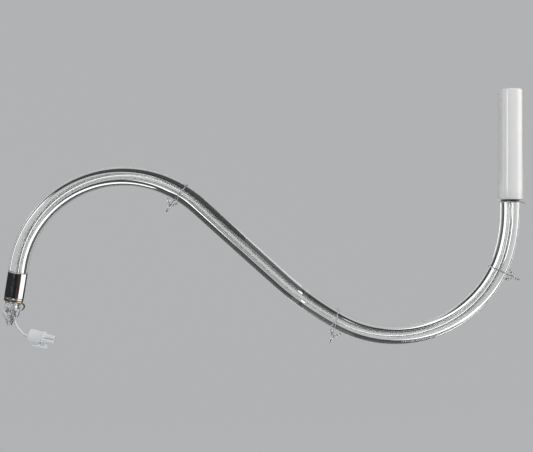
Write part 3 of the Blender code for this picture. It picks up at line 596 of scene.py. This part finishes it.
# %% Spin the bag and crumple it
BOOT_TOP, BOOT_LEFT = -6.95, -10.85  # along the hub's axis, and the CAD boot's left side
bag = [(7.6, BOOT_TOP), (8.3, -8.2), (8.6, -9.8), (8.5, -11.4), (8.2, -13.0), (7.6, -14.6),
       (6.9, -16.2), (6.0, -17.8), (5.1, -19.4), (4.3, -21.0), (3.5, -22.6), (2.9, -24.1),
       (2.3, -25.3)]
PLEATS, PLEAT_PUSH, CRUMPLE_PUSH, CRUMPLE_SHIFT, PULLED_IN = 5, 0.45, 1.15, 0.75, 0.3
LOBE_MIDDLE, LOBE_HEIGHT, LOBE_PUSH = -14.5, 3.2, 1.1
MOST_IN, MOST_OUT, LOBE_MOST = -1.8, 0.85, 0.9
BOOT_SEED = 7  # without a seed, noise_vector starts from the clock

noise.seed_set(BOOT_SEED)
across, along = cos(radians(HUB_LEAN)), sin(radians(HUB_LEAN))
bm = turned(bag, 26, closed=False)
whitening_and_highlight = bm.verts.layers.float.new("fold")
for vert in bm.verts:
    angle = atan2(vert.co.y, vert.co.x)
    depth = min(1, (BOOT_TOP - vert.co.z) / 2)
    pleat = cos(PLEATS * angle + 1.5 * sin(2 * angle) + 0.2 * vert.co.z)
    scatter = noise.noise_vector(vert.co * 1.7)
    # The bag bulges to the left, where the photograph shows its widest fold.
    lobe = max(0, -cos(angle)) * exp(-((vert.co.z - LOBE_MIDDLE) / LOBE_HEIGHT) ** 2)
    push = depth * (PLEAT_PUSH * pleat + CRUMPLE_PUSH * scatter.x + LOBE_PUSH * lobe - PULLED_IN)
    push = max(MOST_IN, min(MOST_OUT + LOBE_MOST * lobe, push))
    outwards = Vector((vert.co.x, vert.co.y, 0)).normalized()
    shift = depth * CRUMPLE_SHIFT * Vector((scatter.y, scatter.z, scatter.y))
    vert.co += outwards * push + shift
    vert.co.z = min(vert.co.z, BOOT_TOP)
    vert.co.x = max(vert.co.x, (BOOT_LEFT - vert.co.z * along) / across)
    # The push is kept for the finish, which paints milky white and a highlight on the outer
    # points.
    vert[whitening_and_highlight] = min(1, max(0, 0.5 + 0.5 * push))
bmesh.ops.triangulate(bm, faces=bm.faces[:], quad_method="SHORT_EDGE")
bmesh.ops.recalc_face_normals(bm, faces=bm.faces)
bmesh.ops.solidify(bm, geom=bm.faces[:], thickness=0.1)
piece(bm, "crumpled_boot", "arm", [film], ["lead_boot"], hub, crease=1)

# %% [markdown]
# ## Finish the lead
#
# The lead was laid first. Now it gets its white jacket and rides on the arm.

lead_curve.materials.append(lead_white)
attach(lead, "arm")
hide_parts("supply_lead")
print("lead points:", len(strand.points))

# %% [markdown]
# ## The connector
#
# The housing is moulded nylon: a slanted body, a proud band round its front and two square silos
# that go into the mating half. Each is a box or an outline with small radii, because a mould has
# no sharp corners. The mouth of each silo is an inset of its front face, pushed back in.

# %% Extrude an outline
def slab(outline, half_width, corner, segments=2):
    """A bmesh of an (x, z) outline, thick along Y, with its edges rounded."""
    bm = bmesh.new()
    loop = [bm.verts.new((x, -half_width, z)) for x, z in outline]
    edges = [bm.edges.new(pair) for pair in zip(loop, loop[1:] + loop[:1])]
    face = bmesh.ops.edgeloop_fill(bm, edges=edges)["faces"]
    grown = bmesh.ops.extrude_face_region(bm, geom=face)["geom"]
    bmesh.ops.translate(bm, vec=(0, 2 * half_width, 0), verts=verts_of(grown))
    sharp = [edge for edge in bm.edges if edge.calc_face_angle(0) > radians(35)]
    round_edges(bm, sharp, corner, segments, clamp_overlap=True)
    return bm


# %% A box between two corners
def box(bm, low, high, corner=0.0, segments=2):
    """Add a box with rounded edges, or with sharp ones, and return a sharp one's vertices."""
    low, high = Vector(low), Vector(high)
    verts = bmesh.ops.create_cube(bm, size=1)["verts"]
    bmesh.ops.scale(bm, vec=high - low, verts=verts)
    bmesh.ops.translate(bm, vec=(low + high) / 2, verts=verts)
    if corner:
        round_edges(bm, edges_of(verts), corner, segments)
    return verts


# %% Mould the housing
BODY_OUTLINE = [(0, 4.2), (1.8, 10.5), (17.4, 9.6), (16.4, -1.2), (2.5, -2.9), (-0.2, 0.2)]
SILO_BACK, SILO_NOSE, SILO_HALF_WIDTH, SILO_WALL, MOUTH_DEPTH = 16, 28, 2.5, 0.75, 18
bm = slab(BODY_OUTLINE, 3.7, corner=0.22, segments=3)
box(bm, (14.2, -4.1, -1.2), (17.0, 4.1, 10.0), corner=0.3, segments=3)
for low, high in ((4.1, 7.9), (-0.5, 3.3)):
    block = box(bm, (SILO_BACK, -SILO_HALF_WIDTH, low), (SILO_NOSE, SILO_HALF_WIDTH, high))
    faces = {face for vert in block for face in vert.link_faces}
    front = max(faces, key=lambda face: face.calc_center_median().x)
    long_edges = [edge for face in faces for edge in face.edges
                  if abs((edge.verts[0].co - edge.verts[1].co).x) > 1]
    bmesh.ops.inset_region(bm, faces=[front], thickness=SILO_WALL, depth=0)
    grown = bmesh.ops.extrude_face_region(bm, geom=[front])["geom"]
    bmesh.ops.translate(bm, vec=(-MOUTH_DEPTH, 0, 0), verts=verts_of(grown))
    bmesh.ops.delete(bm, geom=[front], context="FACES")
    round_edges(bm, list(set(long_edges)), 0.35)
piece(bm, "moulded_housing", "arm", [nylon], ["connector_housing"], connector,
      crease=40)

# %% Turn the two contacts
pin = [(0.001, 8.0), (1.05, 8.0), (1.05, 24.6), (0.85, 25.6), (0.45, 26.2), (0.001, 26.2)]
lay_down = Matrix.Rotation(radians(90), 4, "Y")
for name, height in (("contact_upper", 6.0), ("contact_lower", 1.4)):
    in_silo = connector @ Matrix.Translation((0, 0, height)) @ lay_down
    piece(turned(pin, 28, closed=False), name + "_fine", "arm", [tin], [name],
          in_silo)

# %% [markdown]
# ## The latch
#
# The latch is a lever under the housing, on a short stem, with a hook at its nose and a thumb
# pad at its tail. It is the same all the way across, so one outline gives its shape. Three small
# ribs on its tail give a fingertip something to press.

# %% Mould the latch
LATCH_OUTLINE = [
    (5.9, -5.1), (5.9, -6.5), (6.3, -7.0), (7.1, -7.2), (21.2, -7.2), (21.7, -6.7),
    (21.7, -2.7), (21.3, -2.1), (20.7, -1.9), (19.3, -1.9), (18.8, -4.6), (18.4, -5.1),
    (14.7, -5.1), (14.4, -4.8), (14.4, -2.1), (12.2, -2.1), (12.2, -4.8), (11.9, -5.1),
]
bm = slab(LATCH_OUTLINE, 1.8, corner=0.15)
for rib in (6.6, 7.8, 9.0):
    box(bm, (rib, -1.5, -7.38), (rib + 0.5, 1.5, -7.0), corner=0.08)
piece(bm, "moulded_latch", "latch", [nylon], ["connector_latch"], connector,
      crease=40)

# %% [markdown]
# ## The lamp on the glass
#
# A dark disc covers the tube's rim. A threaded nipple and a nut hold the lamp's post, with a strip
# of lights on its front and on its back. The sleeve hides all of this until it is lifted off, so
# it is modelled as carefully as the rest.

# %% Disc, nipple, grip ring and spacer
piece(turned(washer(9.3, 2.35, 0.3, 1.7), 72, corner=0.2), "dark_base_disc", "arm",
      [dark_steel], ["lamp_base_disc"], candle)

NIPPLE_FOOT, NIPPLE_TOP, NIPPLE_BORE = -7.0, 9.0, 1.35
THREAD_ROOT, THREAD_CREST, THREAD_PITCH, THREAD_TURNS = 1.85, 2.04, 0.355, 45
thread = [(NIPPLE_BORE, NIPPLE_FOOT)]
for turn in range(THREAD_TURNS):
    low = NIPPLE_FOOT + turn * THREAD_PITCH
    thread += [(THREAD_ROOT, low), (THREAD_CREST, low + 0.18)]
thread += [(THREAD_ROOT, NIPPLE_TOP - 0.02), (NIPPLE_BORE, NIPPLE_TOP)]
piece(turned(thread, 32), "threaded_nipple", "arm", [chrome], ["lamp_nipple"], candle,
      crease=20)

piece(turned(washer(11.2, 5.5, 6.2, 10.2), 72, corner=0.5), "soft_grip_ring", "arm",
      [silicone], ["sleeve_grip"], candle)
POST_TOP = 112.9
spacer = [(0.001, POST_TOP + 1.9), (11.2, POST_TOP + 1.9),
          (11.2, POST_TOP + 0.3), (0.001, POST_TOP + 0.3)]
piece(turned(spacer, 72, corner=0.35, closed=False), "soft_top_spacer", "arm",
      [silicone], ["top_spacer"], candle)

# %% Build the two light strips
STRIP_LOW, STRIP_HIGH, CHIP_COUNT = 12.5, POST_TOP - 2.0, 8
BOARD_LAYER, CHIP_LAYER, PAD_LAYER = (4.804, 5.80), (5.7, 6.48), (5.75, 5.9)
YELLOW, TIN = 1, 2


def raised_box(bm, side, layer, half_width, middle, half_height, corner=0.0):
    """A box on one flat of the post, between two distances from its axis."""
    near, far = sorted((side * layer[0], side * layer[1]))
    return box(bm, (-half_width, near, middle - half_height),
               (half_width, far, middle + half_height), corner)


for name, side in (("led_strip_front", -1), ("led_strip_back", 1)):
    bm = bmesh.new()
    length = STRIP_HIGH - STRIP_LOW
    raised_box(bm, side, BOARD_LAYER, 3, STRIP_LOW + length / 2, length / 2, 0.1)
    for index in range(CHIP_COUNT):
        middle = STRIP_LOW + length / CHIP_COUNT * (index + 0.5)
        chip = raised_box(bm, side, CHIP_LAYER, 1.4, middle, 1.75)
        faces = {face for vert in chip for face in vert.link_faces}
        window = max(faces, key=lambda face: side * face.calc_center_median().y)
        bmesh.ops.inset_region(bm, faces=[window], thickness=0.3, depth=-0.05)
        window.material_index = YELLOW
        before = set(bm.faces)
        for pad in (middle - 2.35, middle + 2.35):
            raised_box(bm, side, PAD_LAYER, 1.1, pad, 0.4, 0.05)
        for face in set(bm.faces) - before:
            face.material_index = TIN
    piece(bm, name + "_fine", "arm", [solder_mask, phosphor, tin], [name],
          candle, crease=25)

# %% [markdown]
# ## The candle sleeve
#
# The sleeve is opal plastic tube with a slightly domed roof and a well-rounded shoulder. Its look
# is all in the light: a cool side, one long bright reflection and a warm side. So the mesh only
# has to be smooth. The wall inside is modelled too, because the sleeve comes off.

# %% Spin the sleeve
SLEEVE_LOW, SLEEVE_TOP, SLEEVE_OUTSIDE, SLEEVE_INSIDE, SHOULDER = 2.1, 116.9, 13.0, 11.5, 1.6
dome = [(0.001, 0), (4.0, 0.04), (8.0, 0.18), (10.4, 0.34)]
sleeve = [(radius, SLEEVE_TOP - drop) for radius, drop in dome]
sleeve += [(SLEEVE_OUTSIDE - SHOULDER + SHOULDER * sin(radians(a)),
            SLEEVE_TOP - 2.0 + SHOULDER * cos(radians(a))) for a in range(8, 91, 8)]
sleeve += [(SLEEVE_OUTSIDE, height) for height in range(105, 14, -15)]
sleeve += [(SLEEVE_OUTSIDE, 2.5), (12.85, 2.2), (12.6, SLEEVE_LOW), (11.7, SLEEVE_LOW)]
sleeve += [(SLEEVE_INSIDE, height) for height in (2.4, 60.0, SLEEVE_TOP - 2.4)]
sleeve += [(11.0, SLEEVE_TOP - 1.8), (0.001, SLEEVE_TOP - 1.8)]
piece(turned(sleeve, 96, closed=False), "opal_candle_sleeve", "candle", [opal],
      ["candle_sleeve"], candle)

# %% [markdown]
# ## Wire along any path
#
# The hoops are bent from wire, so they need a sweep along points. At each point the ring turns by
# the smallest rotation from the last direction to the next. Two thin strands on a helix make a
# twist, which is how such a hoop is closed.

# %% Bend a wire through points
def wire(bm, path, radius, sides=10, closed=False, taper=None):
    """Add a round wire along the points. A closed one is joined to its own start."""
    path = [Vector(point) for point in path]
    before = path[-1:] + path[:-1] if closed else path[:1] + path[:-1]
    after = path[1:] + path[:1] if closed else path[1:] + path[-1:]
    frames = []
    turn = None
    for last, point, following in zip(before, path, after):
        ahead = (following - last).normalized()
        turn = ahead.to_track_quat("Z", "Y") if turn is None else (
            (turn @ Vector((0, 0, 1))).rotation_difference(ahead) @ turn)
        frames.append(Matrix.Translation(point) @ turn.to_matrix().to_4x4())
    radii = taper or [1] * len(path)
    first = ring_of(bm, radius * radii[0], sides, frames[0])
    last = sweep(bm, first, frames, radii)
    if closed:
        bmesh.ops.bridge_loops(bm, edges=first + last)
    else:
        bmesh.ops.holes_fill(bm, edges=first + last)


TWIST_TURNS, TWIST_RADIUS, TURN_STEPS = 1.75, 0.3, 12


def twist(bm, start, end, strand_radius):
    """Add two strands wound round the line from start to end."""
    start, end = Vector(start), Vector(end)
    square = (end - start).to_track_quat("Z", "Y").to_matrix()
    steps = int(TURN_STEPS * TWIST_TURNS)
    for phase in (0, pi):
        path = []
        for step in range(steps + 1):
            angle = phase + 2 * pi * step / TURN_STEPS
            offset = TWIST_RADIUS * Vector((cos(angle), sin(angle), 0))
            path.append(start.lerp(end, step / steps) + square @ offset)
        wire(bm, path, strand_radius, sides=6)


# %% [markdown]
# ## The three hoops
#
# Each hoop goes round the glass as a tear drop, is twisted together below it and carries two short
# arms and a tail. The tube leans at each place, so a hoop is built in a frame whose x axis runs
# along the glass, with the join at minus z. The second hoop was slid a little along the glass at
# its top, and the third is rolled round it towards the camera.

# %% Where the hoops sit
HOOPS = [(1, 223.2, 10, 0), (2, 440.6, -18, 0), (3, 632.4, 0, 26)]  # place, slant and roll
JOIN, ARM_REACH, ARM_TOP = 17.7, 5.6, 11.4


def hoop_frame(place, roll):
    """x along the glass, z away from the join, rolled round the glass."""
    on_glass = along_glass(place) @ Matrix.Rotation(radians(-90), 4, "Y")
    return on_glass @ Matrix.Rotation(radians(-roll), 4, "X")


# %% Bend, twist and ball the wires
HOOP_WIRE, ARM_WIRE, HOOP_STRAND, BALL = 0.34, 0.3, 0.24, 0.62
WIRE_GAP, LOOP_POINTS = 1.3, 56


def hoop_wires(place, slant):
    """The loop round the glass, the twist at its join, two arms with balled ends and a tail."""
    bm = bmesh.new()
    radius = tube_radius(place) + WIRE_GAP
    slope = tan(radians(slant))
    half = acos(radius / (JOIN * hypot(1, slope)))
    tilt = Matrix.Rotation(atan(slope), 4, "Y")
    middle = Vector((JOIN * slope, 0, 0))
    loop = []
    for step in range(LOOP_POINTS):
        angle = half + (2 * pi - 2 * half) * step / (LOOP_POINTS - 1)
        spot = Vector((0, radius * sin(angle), -radius * cos(angle)))
        loop.append(middle + tilt @ spot)
    left, right = (Vector((0, side * 0.25, 0.5 - JOIN)) for side in (1, -1))
    wire(bm, [loop[0].lerp(right, share) for share in (1, 0.9, 0.6, 0.3)] + loop
         + [loop[-1].lerp(left, share) for share in (0.3, 0.6, 0.9, 1)], HOOP_WIRE)
    twist(bm, (0, 0, 1.0 - JOIN), (0, 0, -JOIN - 0.7), HOOP_STRAND)
    join = Vector((0, 0, -JOIN))
    for side in (-1, 1):
        end = Vector((side * ARM_REACH, 0, -ARM_TOP))
        wire(bm, [join.lerp(end, share) for share in (0, 0.25, 0.5, 0.75, 1)], ARM_WIRE)
        bmesh.ops.create_uvsphere(bm, u_segments=14, v_segments=9, radius=BALL,
                                  matrix=Matrix.Translation(end))
    wire(bm, [(0, 0, -JOIN - drop) for drop in (0, 2.2, 4.6)], ARM_WIRE)
    return bm


# %% [markdown]
# ## Cut crystals
#
# The beads are small and cut with flat facets. Facets are circles of few sides, each turned half
# a step from the last, with bridges between them: the half step makes the triangles of a real
# cut. The hole is two more circles. The last bead of each hoop is a pointed drop.

# %% Bridge circles into a cut bead
def facets(bm, circles, sides, at, closed=True):
    """Join (radius, height, half steps) circles, one after the other, into flat facets."""
    loops = []
    for radius, height, halves in circles:
        turn = Matrix.Rotation(pi * halves / sides, 4, "Z")
        loops.append(ring_of(bm, radius, sides, at @ Matrix.Translation((0, 0, height)) @ turn))
    pairs = zip(loops, loops[1:] + loops[:1]) if closed else zip(loops, loops[1:])
    for first, second in pairs:
        bmesh.ops.bridge_loops(bm, edges=first + second)
    if not closed:
        bmesh.ops.holes_fill(bm, edges=loops[0] + loops[-1])


BEAD = [(0.72, 1.45, 0), (1.12, 1.45, 0), (1.58, 0.42, 1), (1.58, -0.42, 2), (1.12, -1.45, 3),
        (0.72, -1.45, 3)]
DROP = [(0.72, -1.1, 0), (0.72, 0.0, 0), (1.02, 0.0, 0), (1.24, -0.9, 1), (0.8, -2.3, 2),
        (0.05, -3.6, 3)]
BEADS_UP_ARM, TAIL_BEAD, TAIL_DROP = (3.1, 6.4), 2.2, 3.9
arm_line = Vector((ARM_REACH, 0, JOIN - ARM_TOP)).normalized()
arm_tilt = atan2(arm_line.x, arm_line.z)


def bead_frames():
    """Where the five beads sit: two up each arm, and one on the tail."""
    frames = []
    for side in (-1, 1):
        for along in BEADS_UP_ARM:
            spot = Matrix.Translation((side * arm_line.x * along, 0, arm_line.z * along - JOIN))
            frames.append(spot @ Matrix.Rotation(side * arm_tilt, 4, "Y"))
    return frames + [Matrix.Translation((0, 0, -JOIN - TAIL_BEAD))]


# %% Make the hoops
for number, place, slant, roll in HOOPS:
    at = hoop_frame(place, roll)
    body = f"hoop_{number}"
    piece(hoop_wires(place, slant), f"hoop_{number}_wires", body, [wire_metal],
          [f"hoop_{number}_wire"], at)
    bm = bmesh.new()
    for spot in bead_frames():
        facets(bm, BEAD, 9, spot)
    names = [f"hoop_{number}_bead_{index}" for index in range(1, 6)]
    piece(bm, f"hoop_{number}_crystals", body, [crystal], names, at, crease=1)
    bm = bmesh.new()
    facets(bm, DROP, 7, Matrix.Translation((0, 0, -JOIN - TAIL_DROP)), closed=False)
    piece(bm, f"hoop_{number}_drop", body, [crystal], [f"hoop_{number}_point"], at,
          crease=1)

# %% [markdown]
# ## The hoop under the candle
#
# A last, plain hoop rings the glass just below the sleeve. Its ends are twisted together and stand
# out to the right as a thin tail.

# %% Bend the plain hoop
RING_RADIUS, RING_HEIGHT, RING_WIRE, RING_STRAND = TUBE_RADIUS + 0.8, -0.7, 0.48, 0.26
bm = bmesh.new()
angles = [2 * pi * step / 72 for step in range(72)]
circle = [(RING_RADIUS * cos(a), RING_RADIUS * sin(a), RING_HEIGHT) for a in angles]
wire(bm, circle, RING_WIRE, closed=True)
twist(bm, (RING_RADIUS, 0, RING_HEIGHT), (14.0, 0, -1.35), RING_STRAND)
tail = [(13.6, 0, -1.3), (14.6, 0, -1.6), (16.0, 0, -2.15), (17.3, 0, -2.8)]
wire(bm, tail, HOOP_WIRE, taper=[1, 0.95, 0.8, 0.4])
piece(bm, "plain_end_hoop", "end_hoop", [wire_metal], ["cup_hoop"], candle)

# %% [markdown]
# ## Finish the CAD solids that stay
#
# The hexagon post, both nuts and the gasket are plain pieces, and right as they are. Their meshes
# aren't touched, and each only gets the finish of its kind.

# %% Give the nuts, the post and the gasket their finishes
for node, material in (("hub_nut", brass), ("lamp_nut", brass), ("lamp_post", aluminium),
                       ("glass_gasket", silicone)):
    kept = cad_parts[node]
    kept.data.materials.clear()
    kept.data.materials.append(material)
    print(node, "->", material.name)

# %% [markdown]
# ## A plain room
#
# The room is a round cove: a pale floor that curves up into a pale wall on every side, so that no
# horizon shows behind the glass from any angle. The camera, mirrors and glass see mostly its own
# plain shade. A quarter of it is lit, so that it still takes shadows.

# %% A material for the cove
def bare_material(name):
    """A material without its usual shader, and a socket to make its nodes from."""
    material = bpy.data.materials.new(name)
    material.use_nodes = True
    material.node_tree.nodes.remove(material.node_tree.nodes["Principled BSDF"])
    return material, Socket(material.node_tree)


COVE_SHADE = (0.52, 0.525, 0.53, 1)
pale_cove, start = bare_material("pale_cove")
kinds = ("Is Camera Ray", "Is Glossy Ray", "Is Transmission Ray")
rays = [start.node("ShaderNodeLightPath", take=kind) for kind in kinds]
seen = (rays[0] + rays[1] + rays[2]) * 0.75
plain = start.node("ShaderNodeEmission", {"Color": COVE_SHADE})
matt = start.node("ShaderNodeBsdfDiffuse", {"Color": COVE_SHADE})
mixed = start.node("ShaderNodeMixShader", {0: seen, 1: matt, 2: plain})
mixed.feed("Surface", "Material Output")


# %% Spin the cove
def room_piece(bm, name, materials):
    """A smooth object of the room, which isn't part of the arm."""
    for face in bm.faces:
        face.smooth = True
    made = as_object(bm, name, materials)
    return made


MIDDLE_X = 263
FLOOR, FLOOR_RADIUS, SWEEP_RADIUS, WALL_TOP = -700, 2200, 1300, 2600
cove_line = [(0.001, FLOOR), (FLOOR_RADIUS / 2, FLOOR)]
cove_line += [(FLOOR_RADIUS + SWEEP_RADIUS * sin(radians(a)),
               FLOOR + SWEEP_RADIUS - SWEEP_RADIUS * cos(radians(a)))
              for a in range(0, 91, 6)]
cove_line += [(FLOOR_RADIUS + SWEEP_RADIUS, WALL_TOP)]
bm = turned(cove_line, 96, closed=False)
bmesh.ops.translate(bm, vec=(MIDDLE_X, 0, 0), verts=bm.verts)
cove = room_piece(bm, "cove", [pale_cove])
cove.visible_diffuse = cove.visible_shadow = False

# %% [markdown]
# ## Black and white card
#
# Clear glass in a pale room would have no outline. A photographer hangs black card just outside
# the picture. The rim of a glass tube bends the view far to the side, to that card, so it draws
# itself a dark edge. White card between two black ones adds a bright line. Here the cards are
# rings round the camera's axis, behind the arm and in front of it. The camera and the lamps pass
# through them, and only glass and polished metal show them.

# %% Make black and white card
black_card = finish("black_card", [(0.012, 0.012, 0.013), (0.02, 0.02, 0.021)], (0.8, 0.95))
brown_card = finish("brown_card", [(0.10, 0.055, 0.045), (0.14, 0.08, 0.065)], (0.8, 0.95))
white_card, start = bare_material("white_card")
glow = start.node("ShaderNodeEmission", {"Color": (1, 1, 1, 1), "Strength": 1.3})
glow.feed("Surface", "Material Output")

# %% Hang the rings, with white where the bends of the glass look
MIDDLE_Z, REACH = 60, 1300
WHITE_SECTORS = [(-1, 12), (90, 205), (270, 361)]  # degrees round the camera's axis


def within(value, spans):
    return any(low < value < high for low, high in spans)


def ring_card(name, side, angles, white):
    """A band between these angles from the camera's axis. Some steps are white, on two sides."""
    bm = bmesh.new()
    upright = Matrix.Rotation(radians(90), 4, "X")
    radii = [REACH * sin(radians(a)) for a in angles]
    frames = [
        Matrix.Translation((MIDDLE_X, side * REACH * cos(radians(a)), MIDDLE_Z)) @ upright
        for a in angles]
    first = ring_of(bm, radii[0], 72, frames[0])
    sweep(bm, first, frames, radii)
    for face in bm.faces:
        middle = face.calc_center_median() - Vector((MIDDLE_X, 0, MIDDLE_Z))
        around = degrees(atan2(middle.z, middle.x)) % 360
        out = degrees(atan2(hypot(middle.x, middle.z), abs(middle.y)))
        face.material_index = int(within(out, white) and within(around, WHITE_SECTORS))
    card = room_piece(bm, name, [black_card, white_card])
    card.visible_camera = card.visible_diffuse = card.visible_shadow = False


ring_card("card_behind", 1, (19, 25, 29, 33, 37, 42, 47, 55, 64), [(19, 25), (37, 47)])
ring_card("card_in_front", -1, (34, 40, 46, 55, 64), [(40, 46)])

# %% [markdown]
# ## Cards round the ferrule
#
# Polished chrome has no colour of its own. It shows what stands round it. A low fence of card
# stands round the hub end: black for the most part, with one white sheet to the right and a brown
# one beside it. The ferrule then gets a dark side, a warm line and one clean white stripe. Only
# mirrors see the fence.

# %% Stand a fence of card round the hub end
FENCE_RADIUS, FENCE_HEIGHTS = 300, (-260, -60, 130)
WHITE_SHEET, BROWN_SHEET = (-31, 39), (-70, -35)  # degrees round the hub end
bm = bmesh.new()
frames = [Matrix.Translation((0, 0, height)) for height in FENCE_HEIGHTS]
sweep(bm, ring_of(bm, FENCE_RADIUS, 90, frames[0]), frames, [1, 1, 1])
for face in bm.faces:
    middle = face.calc_center_median()
    angle = degrees(atan2(middle.y, middle.x))
    face.material_index = within(angle, [WHITE_SHEET]) + 2 * within(angle, [BROWN_SHEET])
fence = room_piece(bm, "card_fence", [black_card, white_card, brown_card])
fence.visible_camera = fence.visible_diffuse = False
fence.visible_shadow = fence.visible_transmission = False

# %% [markdown]
# ## Light
#
# Two large soft boxes stand to the left and to the right of the arm, and draw long bright lines
# down the glass and the chrome. A narrow strip beside the camera is there for the candle alone:
# it makes the fine line on its left side. A box up in front lights what faces us, and a weak one
# behind keeps the back from going grey. The world fills what is left.

# %% Hang the lamps
def lamp(name, place, target, size, power, colour=(1, 1, 1)):
    light = bpy.data.lights.new(name, "AREA")
    light.shape = "RECTANGLE"
    light.size, light.size_y = size
    light.energy = power
    light.color = colour
    made = add_object(name, light)
    made.location = place
    made.rotation_euler = (Vector(target) - Vector(place)).to_track_quat("-Z", "Y").to_euler()
    made.visible_camera = False
    print(name, power, "W")


MIDDLE = (0.26, 0, 0.06)
lamp("left_box", (-1.66, -0.80, 0.50), MIDDLE, (0.7, 1.4), 4.5, (0.88, 0.94, 1.0))
lamp("left_strip", (-0.55, -1.19, 0.20), (0.52, 0, 0.16), (0.45, 1.1), 7.5, (0.94, 0.97, 1.0))
lamp("right_box", (1.72, -0.35, 0.40), MIDDLE, (1.5, 1.7), 13, (1.0, 0.97, 0.94))
lamp("overhead", (0.45, -1.35, 1.15), MIDDLE, (1.2, 0.8), 13.5, (1.0, 0.985, 0.97))
lamp("back_box", (0.10, 1.90, 1.00), MIDDLE, (1.4, 0.8), 7)
bpy.data.objects["left_strip"].visible_diffuse = False  # only gloss shows it

world = bpy.data.worlds.new("studio")
bpy.context.scene.world = world
world.use_nodes = True
backdrop = world.node_tree.nodes["Background"]
backdrop.inputs["Color"].default_value = (0.95, 0.97, 1.0, 1)
backdrop.inputs["Strength"].default_value = 0.31

# %% [markdown]
# ## Count the pieces
#
# The last cell prints how many pieces were made, the lead among them. The new meshes must stay
# inside the box of the CAD model.

# %% Count the pieces
print("pieces:", len(made_pieces) + 1)
